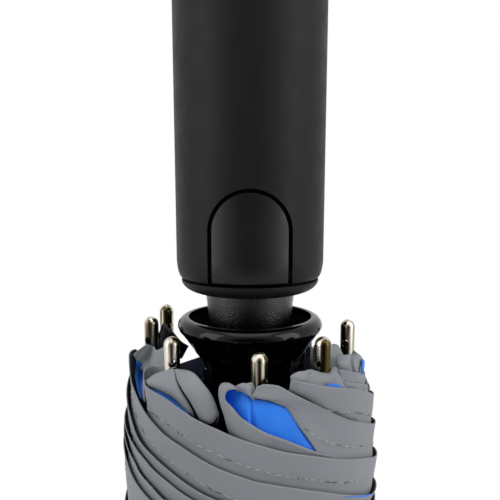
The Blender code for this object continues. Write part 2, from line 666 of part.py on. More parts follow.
def build_nose_ring(parts, material):
    top = SEAM_HEIGHT - FIT_GAP / 2
    bore = NECK_TOP_RADIUS + FIT_GAP
    drop = top - NOSE_FOOT
    span = HANDLE_LIP_RADIUS - NOSE_FOOT_RADIUS
    profile = []
    for step in range(6):
        angle = math.radians(90 * step / 5)
        radius = NOSE_FOOT_RADIUS + span * math.cos(angle)
        profile.append((radius, top - drop * math.sin(angle)))
    profile += [(bore, NOSE_FOOT), (bore, top)]
    smooth(turned("handle_nose_ring", profile, True, VISIBLE_STEPS, parts, material))


def build_neck(parts, material):
    bore = TOP_TUBE_RADIUS + SLIDE_GAP
    profile = [(NECK_TOP_RADIUS, NECK_TOP), (NECK_TOP_RADIUS, NOSE_FOOT), (NECK_FOOT_RADIUS, NECK_FOOT)]
    profile += [(bore, NECK_FOOT), (bore, NECK_TOP)]
    smooth(turned("neck_sleeve", profile, True, VISIBLE_STEPS, parts, material))


def build_core(parts, cutters, material):
    outer = HANDLE_BORE_RADIUS - FIT_GAP
    bore = BOTTOM_TUBE_RADIUS + FIT_GAP
    profile = [(outer, CORE_HEAD), (outer, CORE_FOOT), (bore, CORE_FOOT), (bore, CORE_HEAD)]
    core = turned("handle_core", profile, True, HIDDEN_STEPS, parts, material)
    half = BUTTON_WIDTH / 2 + 2 * BUTTON_GAP
    low = (-half, -outer - CUT_OVERRUN, CORE_FOOT - CUT_OVERRUN)
    high = (half, -CORE_BUTTON_DEPTH, BUTTON_FOOT + BUTTON_HEIGHT + CUT_OVERRUN)
    boolean(core, box_between("button_well_cut", low, high, cutters))
    smooth(core)


def tube(name, radius, foot, head, wall, parts, material):
    profile = [(radius, head), (radius, foot), (radius - wall, foot), (radius - wall, head)]
    smooth(turned(name, profile, True, HIDDEN_STEPS, parts, material))


def build_shaft(parts, steel, spring_steel):
    tube("top_tube", TOP_TUBE_RADIUS, TOP_TUBE_FOOT, TOP_TUBE_HEAD, TUBE_WALL, parts, steel)
    tube("middle_tube", MIDDLE_TUBE_RADIUS, MIDDLE_TUBE_FOOT, MIDDLE_TUBE_HEAD, TUBE_WALL, parts, steel)
    tube("bottom_tube", BOTTOM_TUBE_RADIUS, BOTTOM_TUBE_FOOT, BOTTOM_TUBE_HEAD, TUBE_WALL, parts, steel)
    spring_foot = MIDDLE_TUBE_FOOT - MIDDLE_TUBE_LIFT + FIT_GAP
    tube("drive_spring", DRIVE_SPRING_RADIUS, spring_foot, DRIVE_SPRING_HEAD, DRIVE_SPRING_WALL, parts, spring_steel)


def pawl_foot():
    return CORE_FOOT + SPRING_HEIGHT + 2 * PAWL_CLEARANCE


def build_latch(parts, material, spring_steel):
    """The pawl behind the button, on its own small return spring."""
    foot = pawl_foot()
    bpy.ops.mesh.primitive_cube_add(size=1)
    pawl = bpy.context.object
    pawl.name = "latch_pawl"
    for owner in list(pawl.users_collection):
        owner.objects.unlink(pawl)
    parts.objects.link(pawl)
    pawl.data.materials.append(material)
    pawl.data.transform(Matrix.Diagonal((PAWL_WIDTH, PAWL_THICKNESS, PAWL_HEIGHT, 1.0)))
    pawl.location = (0, -PAWL_BACK - PAWL_THICKNESS / 2, foot + PAWL_HEIGHT / 2)
    bevel = pawl.modifiers.new("Bevel", "BEVEL")
    bevel.width = PAWL_CLEARANCE
    bevel.segments = 1
    coil = bpy.data.curves.new("button_return_spring", "CURVE")
    coil.dimensions = "3D"
    coil.bevel_depth = SPRING_WIRE_RADIUS
    coil.bevel_resolution = 1
    coil.use_fill_caps = True
    spline = coil.splines.new("POLY")
    count = SPRING_TURNS * SPRING_STEPS
    spline.points.add(count)
    rise = SPRING_HEIGHT - 2 * SPRING_WIRE_RADIUS
    for index in range(count + 1):
        angle = 2 * math.pi * index / SPRING_STEPS
        height = SPRING_WIRE_RADIUS + rise * index / count
        spline.points[index].co = (SPRING_RADIUS * math.cos(angle), SPRING_RADIUS * math.sin(angle), height, 1.0)
    spring = add_object("button_return_spring", coil, parts, spring_steel)
    spring.location = (0, -PAWL_BACK - PAWL_THICKNESS / 2, CORE_FOOT + PAWL_CLEARANCE)
    gap = rise / SPRING_TURNS - 2 * SPRING_WIRE_RADIUS
    print("least gap of the return spring to itself, in mm:", round(gap * 1000, 3))


def build_crown(parts, cutters, plastic, cap_material, wire_material):
    bore = TOP_TUBE_RADIUS + FIT_GAP
    groove = CROWN_WIRE_RADIUS + FIT_GAP
    groove_floor = CROWN_PIVOT_RADIUS - CROWN_WIRE_RADIUS - FIT_GAP
    profile = [(HUB_RADIUS, HUB_HEAD), (HUB_RADIUS, CROWN_PIVOT_HEIGHT + groove)]
    profile += [(groove_floor, CROWN_PIVOT_HEIGHT + groove), (groove_floor, CROWN_PIVOT_HEIGHT - groove)]
    profile += [(HUB_RADIUS, CROWN_PIVOT_HEIGHT - groove), (HUB_RADIUS, HUB_FOOT)]
    profile += [(bore, HUB_FOOT), (bore, HUB_HEAD)]
    hub = turned("crown_hub", profile, True, HIDDEN_STEPS + 4, parts, plastic)
    slot_floor = CROWN_PIVOT_RADIUS - HALF_RIB - FIT_GAP
    reach = HUB_RADIUS + CUT_OVERRUN
    low = (slot_floor, -HUB_SLOT_WIDTH / 2, HUB_FOOT + CLOTH_THICKNESS)
    cut_star(hub, low, (reach, HUB_SLOT_WIDTH / 2, HUB_HEAD + CUT_OVERRUN), cutters)
    smooth(hub)
    bpy.ops.mesh.primitive_torus_add(major_radius=CROWN_PIVOT_RADIUS, minor_radius=CROWN_WIRE_RADIUS,
                                     major_segments=CROWN_WIRE_STEPS, minor_segments=CROWN_WIRE_SIDES)
    ring = bpy.context.object
    ring.name = "crown_ring"
    ring.location = (0, 0, CROWN_PIVOT_HEIGHT)
    for owner in list(ring.users_collection):
        owner.objects.unlink(ring)
    parts.objects.link(ring)
    ring.data.materials.append(wire_material)
    stem_radius = TOP_TUBE_RADIUS - TUBE_WALL - FIT_GAP
    stem_top = FERRULE_HEIGHT + FERRULE_STEM_HEIGHT
    shoulder = FERRULE_ROUND / 2
    profile = [(0.0, stem_top), (stem_radius, stem_top), (stem_radius, FERRULE_HEIGHT)]
    profile += [(FERRULE_RADIUS - shoulder, FERRULE_HEIGHT), (FERRULE_RADIUS, FERRULE_HEIGHT - shoulder)]
    profile += arc((FERRULE_RADIUS - FERRULE_ROUND, FERRULE_ROUND), FERRULE_ROUND, 0, -90, 4)
    profile.append((0.0, 0.0))
    smooth(turned("ferrule_cap", profile, False, HIDDEN_STEPS + 8, parts, cap_material))


def cut_star(part, low, high, cutters):
    """Cuts one box out of a turned part at every rib."""
    for index in range(RIB_COUNT):
        cutter = box_between(part.name + "_slot", low, high, cutters)
        cutter.rotation_euler = Euler((0, 0, rib_azimuth(index)))
        boolean(part, cutter)


# Shares of the cup's flare outward from its foot, and of its height up to the rim's widest line
CUP_SIDE_SHARES = ((0.95, 0.955), (0.78, 0.885), (0.46, 0.72), (0.15, 0.57), (0.0, 0.42), (0.0, 0.0))
CUP_LINING_SHARES = ((0.0, 0.62), (0.56, 0.86), (0.86, 0.99))


def build_runner(parts, cutters, cup_material, hub_material):
    cone_height = CUP_RIM_HEIGHT - CUP_FOOT
    outer = arc((CUP_RIM_RADIUS - CUP_RIM_ROUND, CUP_RIM_HEIGHT), CUP_RIM_ROUND, 120, 0, 4)
    for flare, rise in CUP_SIDE_SHARES:
        radius = CUP_FOOT_RADIUS + (CUP_RIM_RADIUS - CUP_FOOT_RADIUS) * flare
        outer.append((radius, CUP_FOOT + cone_height * rise))
    bore = RUNNER_SLEEVE_RADIUS + FIT_GAP
    throat = NECK_TOP_RADIUS + FIT_GAP
    inner = [(bore, CUP_FOOT), (bore, RUNNER_SLEEVE_HEAD), (throat, RUNNER_SLEEVE_HEAD + FIT_GAP)]
    for flare, rise in CUP_LINING_SHARES:
        radius = throat + (CUP_MOUTH_RADIUS - throat) * flare
        inner.append((radius, CUP_FOOT + cone_height * rise))
    smooth(turned("runner_cup", outer + inner, True, VISIBLE_STEPS, parts, cup_material))
    flange_top = RUNNER_PIVOT_HEIGHT + RUNNER_FLANGE_HALF_HEIGHT
    flange_foot = RUNNER_PIVOT_HEIGHT - RUNNER_FLANGE_HALF_HEIGHT
    tube_bore = TOP_TUBE_RADIUS + FIT_GAP
    profile = [(RUNNER_SLEEVE_RADIUS, RUNNER_SLEEVE_HEAD), (RUNNER_SLEEVE_RADIUS, flange_top)]
    profile += [(RUNNER_FLANGE_RADIUS, flange_top), (RUNNER_FLANGE_RADIUS, flange_foot)]
    profile += [(tube_bore, flange_foot), (tube_bore, RUNNER_SLEEVE_HEAD)]
    hub = turned("runner_hub", profile, True, HIDDEN_STEPS + 4, parts, hub_material)
    slot_floor = STRETCHER_HEAD_RADIUS - STRETCHER_THICKNESS / 2 - FIT_GAP
    reach = RUNNER_FLANGE_RADIUS + CUT_OVERRUN
    half_slot = STRETCHER_WIDTH / 2 + FIT_GAP
    low = (slot_floor, -half_slot, flange_foot - CUT_OVERRUN)
    cut_star(hub, low, (reach, half_slot, flange_top + CUT_OVERRUN), cutters)
    smooth(hub)


def blend_between(points, height):
    """Reads a smooth value between (height, value) pairs, the lowest height first."""
    if height <= points[0][0]:
        return points[0][1]
    for (low, start), (high, end) in zip(points[:-1], points[1:]):
        if height <= high:
            share = (height - low) / (high - low)
            return start + (end - start) * share * share * (3 - 2 * share)
    return points[-1][1]


def canopy_outer_radius(height):
    shape = [(CANOPY_SHOULDER_HEIGHT, CANOPY_FOOT_RADIUS), (CANOPY_WAIST_HEIGHT, CANOPY_WAIST_RADIUS)]
    shape += [(CANOPY_FULL_HEIGHT, CANOPY_FULL_RADIUS), (CANOPY_PEAK_HEIGHT, CANOPY_HEAD_RADIUS)]
    return blend_between(shape, height)


def canopy_inner_radius(height):
    share = (height - CANOPY_SHOULDER_HEIGHT) / (CANOPY_PEAK_HEIGHT - CANOPY_SHOULDER_HEIGHT)
    return CANOPY_INNER_FOOT_RADIUS + (CANOPY_INNER_HEAD_RADIUS - CANOPY_INNER_FOOT_RADIUS) * share


CANOPY_ROW_SHARES = (1.0, 0.985, 0.95, 0.90, 0.84, 0.76, 0.64, 0.50, 0.34, 0.18, 0.08, 0.0)
CANOPY_INNER_SHARES = (0.0, 0.25, 0.5, 0.8, 1.0)
PLEAT_CREST_SHARE = 0.86
PLEAT_END_SHARE = 0.35
PLEAT_CURL_SHARE = 0.55
PEAK_POWER = 6


def canopy_column(turn):
    """One column of the furled cloth: down its outside, round the crown and up its inside."""
    from_tip = (turn / (2 * math.pi) * RIB_COUNT) % 1.0
    peak = math.cos(math.pi * from_tip) ** PEAK_POWER
    top = CANOPY_EDGE_HEIGHT + (CANOPY_PEAK_HEIGHT - CANOPY_EDGE_HEIGHT) * peak
    column = []
    for share in CANOPY_ROW_SHARES:
        height = CANOPY_SHOULDER_HEIGHT + (top - CANOPY_SHOULDER_HEIGHT) * share
        drift = CANOPY_TURN * (1 - share) ** PLEAT_CURL_SHARE / (2 * math.pi) * RIB_COUNT
        phase = (from_tip - drift) % 1.0
        rise = min(phase / PLEAT_CREST_SHARE, (1 - phase) / (1 - PLEAT_CREST_SHARE))
        fullness = PLEAT_END_SHARE + (1 - PLEAT_END_SHARE) * math.sin(math.pi * share)
        column.append((canopy_outer_radius(height) + CANOPY_PLEAT * fullness * rise, height))
    wall = CANOPY_HEAD_WALL
    low = FERRULE_HEIGHT + FIT_GAP
    hole = TOP_TUBE_RADIUS
    shoulder = CANOPY_SHOULDER_HEIGHT - CANOPY_SHOULDER_DROP
    column += [(CANOPY_FOOT_RADIUS - 2 * wall, shoulder), (FERRULE_RADIUS, low), (hole, low)]
    column += [(hole, low + CLOTH_THICKNESS), (FERRULE_RADIUS - wall, low + CLOTH_THICKNESS)]
    column += [(CANOPY_FOOT_RADIUS - 4 * wall, shoulder + wall)]
    for share in CANOPY_INNER_SHARES:
        height = CANOPY_SHOULDER_HEIGHT + (top - CANOPY_SHOULDER_HEIGHT) * share
        column.append((canopy_inner_radius(height), height))
    return column


def build_canopy(parts, material):
    """A loft of unlike columns: eight pleats that wind round the ribs, one over the next."""
    count = CANOPY_COLUMNS_PER_RIB * RIB_COUNT
    shape = bmesh.new()
    columns = []
    for index in range(count):
        turn = 2 * math.pi * index / count
        angle = turn + rib_azimuth(0)
        points = []
        for radius, height in canopy_column(turn):
            points.append(shape.verts.new((radius * math.cos(angle), radius * math.sin(angle), height)))
        columns.append(points)
    rows = len(columns[0])
    for index in range(count):
        here = columns[index]
        there = columns[(index + 1) % count]
        for row in range(rows):
            below = (row + 1) % rows
            shape.faces.new((here[row], here[below], there[below], there[row]))
    bmesh.ops.recalc_face_normals(shape, faces=shape.faces)
    mesh = bpy.data.meshes.new("canopy")
    shape.to_mesh(mesh)
    shape.free()
    smooth(add_object("canopy", mesh, parts, material))


def build_strap(parts, cutters, material):
    """The tie strap's band, closed round the furled cloth, with its press stud in front."""
    inner = canopy_outer_radius(STRAP_HEIGHT + STRAP_WIDTH / 2) + CANOPY_PLEAT + FIT_GAP
    outer = inner + STRAP_THICKNESS
    low = STRAP_HEIGHT - STRAP_WIDTH / 2
    high = STRAP_HEIGHT + STRAP_WIDTH / 2
    profile = [(outer, high), (outer, low), (inner, low), (inner, high)]
    strap = turned("tie_strap", profile, True, VISIBLE_STEPS, parts, material)
    start = (0, -inner - STRAP_THICKNESS / 2, STRAP_HEIGHT)
    end = (0, -outer - SNAP_HEIGHT, STRAP_HEIGHT)
    boolean(strap, rod_between("snap_head", start, end, SNAP_RADIUS, 20, cutters), "UNION")
    smooth(strap)


def main():
    clear_scene()
    parts = new_collection("automatic_umbrella")
    cutters = new_collection("cutters")
    soft_black = new_material("soft_touch_black", (0.022, 0.022, 0.024), 0.62)
    button_grey = new_material("button_black", (0.035, 0.036, 0.038), 0.45)
    gloss_black = new_material("gloss_black", (0.010, 0.010, 0.011), 0.18)
    grainy_black = new_material("grainy_black", (0.030, 0.030, 0.031), 0.55)
    inner_plastic = new_material("inner_plastic", (0.12, 0.12, 0.13), 0.5)
    steel = new_material("rib_steel", (0.05, 0.05, 0.055), 0.35, 0.8)
    tube_steel = new_material("tube_steel", (0.62, 0.62, 0.64), 0.25, 1.0)
    spring_steel = new_material("spring_steel", (0.45, 0.45, 0.46), 0.3, 1.0)
    nickel = new_material("warm_nickel", (0.72, 0.66, 0.56), 0.2, 1.0)
    cloth = new_material("grey_cloth", (0.22, 0.235, 0.25), 0.8)

    build_handle_shell(parts, cutters, soft_black)
    build_end_cap(parts, cutters, soft_black)
    build_nose_ring(parts, soft_black)
    build_neck(parts, grainy_black)
    build_core(parts, cutters, inner_plastic)
    build_button(parts, cutters, button_grey)
    build_latch(parts, inner_plastic, spring_steel)
    build_shaft(parts, tube_steel, spring_steel)
    build_crown(parts, cutters, inner_plastic, soft_black, tube_steel)
    build_runner(parts, cutters, gloss_black, gloss_black)
    build_ribs(parts, cutters, steel, nickel)
    build_canopy(parts, cloth)
    build_strap(parts, cutters, cloth)


main()
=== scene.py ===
"""The looks of the closed automatic umbrella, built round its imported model.

Metres, +Z towards the handle. Azimuths are degrees round the shaft, from the front and turning to the right.
"""
import bisect
import bmesh
import bpy
import json
import math
import random
from mathutils import Matrix, Vector, noise

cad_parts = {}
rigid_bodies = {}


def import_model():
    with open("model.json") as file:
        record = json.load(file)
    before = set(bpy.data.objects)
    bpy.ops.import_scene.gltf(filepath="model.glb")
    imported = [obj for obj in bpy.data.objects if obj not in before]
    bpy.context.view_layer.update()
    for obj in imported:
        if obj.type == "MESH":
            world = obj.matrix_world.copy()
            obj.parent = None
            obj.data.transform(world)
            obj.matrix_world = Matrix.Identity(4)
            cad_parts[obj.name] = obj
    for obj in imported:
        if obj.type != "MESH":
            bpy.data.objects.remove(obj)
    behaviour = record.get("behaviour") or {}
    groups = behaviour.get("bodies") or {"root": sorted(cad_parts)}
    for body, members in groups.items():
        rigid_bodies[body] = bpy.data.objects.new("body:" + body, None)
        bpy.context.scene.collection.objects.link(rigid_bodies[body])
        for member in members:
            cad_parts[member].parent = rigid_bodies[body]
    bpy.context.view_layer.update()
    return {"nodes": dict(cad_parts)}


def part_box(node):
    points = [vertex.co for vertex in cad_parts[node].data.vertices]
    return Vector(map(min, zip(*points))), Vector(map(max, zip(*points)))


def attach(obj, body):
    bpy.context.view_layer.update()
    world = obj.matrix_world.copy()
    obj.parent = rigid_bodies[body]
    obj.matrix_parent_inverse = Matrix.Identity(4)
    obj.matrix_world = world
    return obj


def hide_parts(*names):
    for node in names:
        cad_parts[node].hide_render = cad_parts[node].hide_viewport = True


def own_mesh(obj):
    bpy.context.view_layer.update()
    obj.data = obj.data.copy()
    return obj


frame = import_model()

# The photograph's frame and the camera that matches it
PHOTO_SIZE = 500
FOCAL_PIXELS = 540
SENSOR_WIDTH = 36.0
CAMERA_PLACE = Vector((0.0, -0.1296, 0.2283))
CAMERA_DROP = math.atan(0.1)
CLIP_START = 0.002
CLIP_END = 20.0
RAY_STEP = 0.0002
RAY_NEAR = 0.080
RAY_FAR = 0.140

# The furled bundle's outside: (height, radius)
ENVELOPE = (
    (0.0066, 0.0098), (0.0095, 0.0128), (0.0150, 0.0176), (0.0240, 0.0216), (0.0450, 0.0249),
    (0.0750, 0.0270), (0.0960, 0.0274), (0.1050, 0.0268), (0.1140, 0.0275), (0.1340, 0.0296),
    (0.1600, 0.0308), (0.1700, 0.0305), (0.1800, 0.0298), (0.1880, 0.0290), (0.1960, 0.0284),
)
# The numbers of the ribs, of their tips and of the wings of cloth
NUMBERS = range(1, 9)


def smooth_share(share):
    share = min(max(share, 0.0), 1.0)
    return share * share * (3 - 2 * share)


def follow(points, place):
    """A smooth line through (place, value) points, held at its ends."""
    places = [point[0] for point in points]
    if place <= places[0]:
        return points[0][1]
    if place >= places[-1]:
        return points[-1][1]
    index = bisect.bisect_right(places, place) - 1
    slopes = []
    for here in (index, index + 1):
        low = max(here - 1, 0)
        high = min(here + 1, len(points) - 1)
        slopes.append((points[high][1] - points[low][1]) / (places[high] - places[low]))
    span = places[index + 1] - places[index]
    share = (place - places[index]) / span
    start, end = points[index][1], points[index + 1][1]
    value = start * (1 + 2 * share) * (1 - share) ** 2 + end * (3 - 2 * share) * share ** 2
    return value + span * (slopes[0] * share * (1 - share) ** 2 - slopes[1] * share ** 2 * (1 - share))


def catmull(before, start, end, after, share):
    """A point between start and end on the Catmull-Rom line through four points of any size."""
    sample = []
    for p0, p1, p2, p3 in zip(before, start, end, after):
        value = 0.5 * (2 * p1 + (p2 - p0) * share + (2 * p0 - 5 * p1 + 4 * p2 - p3) * share ** 2
                       + (3 * p1 - p0 - 3 * p2 + p3) * share ** 3)
        sample.append(value)
    return tuple(sample)


def spline_counts(points, counts):
    """A smooth line with a given number of steps between each two points."""
    samples = []
    for index, count in enumerate(counts):
        before = points[max(index - 1, 0)]
        start, end = points[index], points[index + 1]
        after = points[min(index + 2, len(points) - 1)]
        for step in range(count):
            samples.append(catmull(before, start, end, after, step / count))
    samples.append(tuple(points[-1]))
    return samples


def spline_points(points, spacing):
    """A smooth line through points, sampled about evenly."""
    counts = [max(1, round(math.dist(start, end) / spacing)) for start, end in zip(points, points[1:])]
    return spline_counts(points, counts)


def line_length(points):
    return sum(math.dist(start, end) for start, end in zip(points, points[1:]))


def envelope(height):
    """The radius of the furled bundle's outside at one height."""
    return follow(ENVELOPE, height)


def outward_from(point):
    """The level direction from the shaft out through a point."""
    return Vector((point.x, point.y, 0)).normalized()


def ring_place(azimuth, radius, height):
    """The point at one azimuth, distance from the shaft's axis and height."""
    turn = math.radians(azimuth)
    return Vector((radius * math.sin(turn), -radius * math.cos(turn), height))


def on_bundle(azimuth, height, inset):
    """The point that lies a given depth inside the bundle's outside."""
    return ring_place(azimuth, envelope(height) - inset, height)


def azimuth_of(point):
    return math.degrees(math.atan2(point.x, -point.y))


def pixel_ray(across, down):
    """The direction in which one pixel of the photograph is seen."""
    right = (across - PHOTO_SIZE / 2) / FOCAL_PIXELS
    up = (PHOTO_SIZE / 2 - down) / FOCAL_PIXELS
    forward = math.cos(CAMERA_DROP) + up * math.sin(CAMERA_DROP)
    rise = up * math.cos(CAMERA_DROP) - math.sin(CAMERA_DROP)
    return Vector((right, forward, rise)).normalized()


def from_pixel(across, down, inset=0.0):
    """Where one pixel meets the bundle, as (azimuth, height, inset), or the nearest side where it misses."""
    ray = pixel_ray(across, down)
    nearest = None
    least_gap = math.inf
    distance = RAY_NEAR
    while distance < RAY_FAR and least_gap > 0:
        point = CAMERA_PLACE + ray * distance
        gap = math.hypot(point.x, point.y) - envelope(point.z) + inset
        if gap < least_gap:
            nearest = point
            least_gap = gap
        distance += RAY_STEP
    return azimuth_of(nearest), nearest.z, inset


def node_centre(node):
    low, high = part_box(node)
    return (low + high) / 2


TIP_AZIMUTHS = {number: azimuth_of(node_centre("rib_tip_" + str(number))) for number in NUMBERS}


# Materials: in each, colour and gloss vary a little with noise in the piece's own place.
# A noise is (scale, detail, roughness) or without its scale, a bump is (strength, distance), and places are
# where along a noise a ramp's first and last colours lie.
MIDDLE_PLACES = (0.3, 0.7)
PLASTIC_SPREAD = 0.05
PLASTIC_LEAST = 0.02
PLASTIC_TINT = 0.15
CLOUD_SIZE = 40
GRAIN_NOISE = (4.0, 0.6)
CLOUD_NOISE = (2.0, 0.5)
GRAIN_PLACES = (0.35, 0.65)
METAL_LESS = 0.06
METAL_MORE = 0.10
METAL_LEAST = 0.03
METAL_TINT = 0.88
METAL_DRAW = 0.03
METAL_NOISE = (3.0, 0.6)
METAL_GLOSS_PLACES = (0.3, 0.75)
METAL_TINT_PLACES = (0.25, 0.6)
METAL_BUMP = (0.08, 0.00002)
PLATED_LESS = 0.08
PLATED_MORE = 0.10
PLATED_DRAW = 0.05
# Painted reflection: long dark-gold and bright streaks in the tips' colour that stand for reflections
PAINTED_REFLECTION_STREAKS = (620.0, 1.0, 0.4)
PLATED_NOISE = (2600.0, 3.0, 0.6)
PAINTED_REFLECTION_PLACES = (0.43, 0.56)
PLATED_BUMP = (0.2, 0.00003)
# The weave's thread spacing, and how far one unit of the wave texture's scale turns its wave, in radians
WEAVE_PITCH = 0.0006 * math.pi
WAVE_TURN = 20
WEAVE_SHARE = 0.30
CREASE_SHARE = 2.6
CREASE_NOISE = (260.0, 5.0, 0.62)
MOTTLE_NOISE = (70.0, 3.0, 0.55)
CLOTH_BUMP = (0.22, 0.00006)
CLOTH_SPECULAR = 0.3
SHEEN_ROUGHNESS = 0.4
# How far the lining's painted shade looks for pieces that close it in
DEEP_SHADE_REACH = 0.030


def join(tree, node, sockets):
    """Sets a node's sockets, each to a value or to the socket that feeds it."""
    for name, value in sockets.items():
        if isinstance(value, bpy.types.NodeSocket):
            tree.links.new(value, node.inputs[name])
        else:
            node.inputs[name].default_value = value


def add_node(tree, kind, sockets=None, **settings):
    node = tree.nodes.new("ShaderNode" + kind)
    for name, value in settings.items():
        setattr(node, name, value)
    join(tree, node, sockets or {})
    return node


def maths(tree, operation, *values):
    return add_node(tree, "Math", dict(enumerate(values)), operation=operation).outputs["Value"]


def shader_material(name, colour, roughness, metallic=0.0, specular=0.5):
    material = bpy.data.materials.new(name)
    material.use_nodes = True
    tree = material.node_tree
    shader = tree.nodes["Principled BSDF"]
    join(tree, shader, {"Base Color": (*colour, 1.0), "Roughness": roughness, "Metallic": metallic,
                        "Specular IOR Level": specular})
    return material, tree, shader


def object_place(tree):
    return add_node(tree, "TexCoord").outputs["Object"]


def drawn_place(tree, share):
    """The piece's own place with its height pressed together, which draws noise out into streaks."""
    sockets = {"Vector": object_place(tree), "Scale": (1.0, 1.0, share)}
    return add_node(tree, "Mapping", sockets).outputs["Vector"]


def noise_node(tree, place, scale, detail, roughness):
    sockets = {"Scale": scale, "Detail": detail, "Roughness": roughness, "Vector": place}
    return add_node(tree, "TexNoise", sockets).outputs["Fac"]


def ramp(tree, factor, places, low_colour, high_colour):
    node = add_node(tree, "ValToRGB", {"Fac": factor})
    low, high = node.color_ramp.elements
    low.position, high.position = places
    low.color = (*low_colour, 1.0)
    high.color = (*high_colour, 1.0)
    return node.outputs["Color"]


def grey(value):
    return (value, value, value)


def tinted(colour, share):
    return tuple(value * share for value in colour)


def add_bump(tree, shader, height, strength, distance):
    bump = add_node(tree, "Bump", {"Strength": strength, "Distance": distance, "Height": height})
    join(tree, shader, {"Normal": bump.outputs["Normal"]})


def plastic(name, colour, roughness, specular, grain_scale, grain_depth, grain_strength=0.35):
    """Moulded plastic: a faint grain in its surface and its gloss."""
    material, tree, shader = shader_material(name, colour, roughness, 0.0, specular)
    place = object_place(tree)
    grain = noise_node(tree, place, grain_scale, *GRAIN_NOISE)
    add_bump(tree, shader, grain, grain_strength, grain_depth)
    cloudy = noise_node(tree, place, grain_scale / CLOUD_SIZE, *CLOUD_NOISE)
    glossier = grey(max(roughness - PLASTIC_SPREAD, PLASTIC_LEAST))
    rough = ramp(tree, cloudy, MIDDLE_PLACES, glossier, grey(roughness + PLASTIC_SPREAD))
    tint = ramp(tree, grain, GRAIN_PLACES, tinted(colour, 1 - PLASTIC_TINT), tinted(colour, 1 + PLASTIC_TINT))
    join(tree, shader, {"Roughness": rough, "Base Color": tint})
    return material


def metal(name, colour, roughness, brushed_scale):
    """Drawn steel: fine streaks along its height."""
    material, tree, shader = shader_material(name, colour, roughness, 1.0)
    streaks = noise_node(tree, drawn_place(tree, METAL_DRAW), brushed_scale, *METAL_NOISE)
    glossier = grey(max(roughness - METAL_LESS, METAL_LEAST))
    rough = ramp(tree, streaks, METAL_GLOSS_PLACES, glossier, grey(roughness + METAL_MORE))
    tint = ramp(tree, streaks, METAL_TINT_PLACES, tinted(colour, METAL_TINT), colour)
    join(tree, shader, {"Roughness": rough, "Base Color": tint})
    add_bump(tree, shader, streaks, *METAL_BUMP)
    return material


def plated(name, bright, dark, roughness):
    """Drawn and plated metal: long streaks of painted reflection in its colour, dark and bright, and uneven
    gloss down each tip.
    """
    material, tree, shader = shader_material(name, bright, roughness, 1.0)
    place = drawn_place(tree, PLATED_DRAW)
    tint = ramp(tree, noise_node(tree, place, *PAINTED_REFLECTION_STREAKS), PAINTED_REFLECTION_PLACES, dark, bright)
    fine = noise_node(tree, place, *PLATED_NOISE)
    rough = ramp(tree, fine, MIDDLE_PLACES, grey(roughness - PLATED_LESS), grey(roughness + PLATED_MORE))
    join(tree, shader, {"Roughness": rough, "Base Color": tint})
    add_bump(tree, shader, fine, *PLATED_BUMP)
    return material


def weave(tree):
    """Two crossing sets of threads."""
    lines = add_node(tree, "UVMap", uv_map="cloth_place").outputs["UV"]
    sockets = {"Scale": 2 * math.pi / WEAVE_PITCH / WAVE_TURN, "Vector": lines}
    threads = [add_node(tree, "TexWave", sockets, bands_direction=way).outputs["Fac"] for way in ("X", "Y")]
    return maths(tree, "ADD", *threads)


def shaded_deep(tree, tint, deep_shade):
    """Painted shade: a tint that darkens towards black where other pieces close it in."""
    near = add_node(tree, "AmbientOcclusion", {"Distance": DEEP_SHADE_REACH}, samples=6).outputs["AO"]
    darkest, lightest = deep_shade
    shade = add_node(tree, "MapRange", {"Value": near, "From Min": darkest, "From Max": lightest})
    sockets = {"Factor": 1.0, "A": tint, "B": shade.outputs["Result"]}
    return add_node(tree, "Mix", sockets, data_type="RGBA", blend_type="MULTIPLY").outputs["Result"]


def cloth(name, colour, roughness, sheen, mottle, deep_shade=None):
    """Tight coated weave: two crossing sets of threads, faint creases and slow colour change, with painted
    shade in its hollows where deep_shade is given.
    """
    material, tree, shader = shader_material(name, colour, roughness, 0.0, CLOTH_SPECULAR)
    place = object_place(tree)
    creases = noise_node(tree, place, *CREASE_NOISE)
    threads = maths(tree, "MULTIPLY", weave(tree), WEAVE_SHARE)
    add_bump(tree, shader, maths(tree, "MULTIPLY_ADD", creases, CREASE_SHARE, threads), *CLOTH_BUMP)
    slow = noise_node(tree, place, *MOTTLE_NOISE)
    tint = ramp(tree, slow, MIDDLE_PLACES, tinted(colour, 1 - mottle), tinted(colour, 1 + mottle))
    if deep_shade is not None:
        tint = shaded_deep(tree, tint, deep_shade)
    join(tree, shader, {"Base Color": tint, "Sheen Weight": sheen, "Sheen Roughness": SHEEN_ROUGHNESS})
    return material


GREY_CLOTH = (0.215, 0.228, 0.245)
BLUE_CLOTH = (0.018, 0.175, 0.72)
# The blue lining darkened to stand for its shade: painted shade
SHADED_LINING_BLUE = (0.0025, 0.026, 0.15)

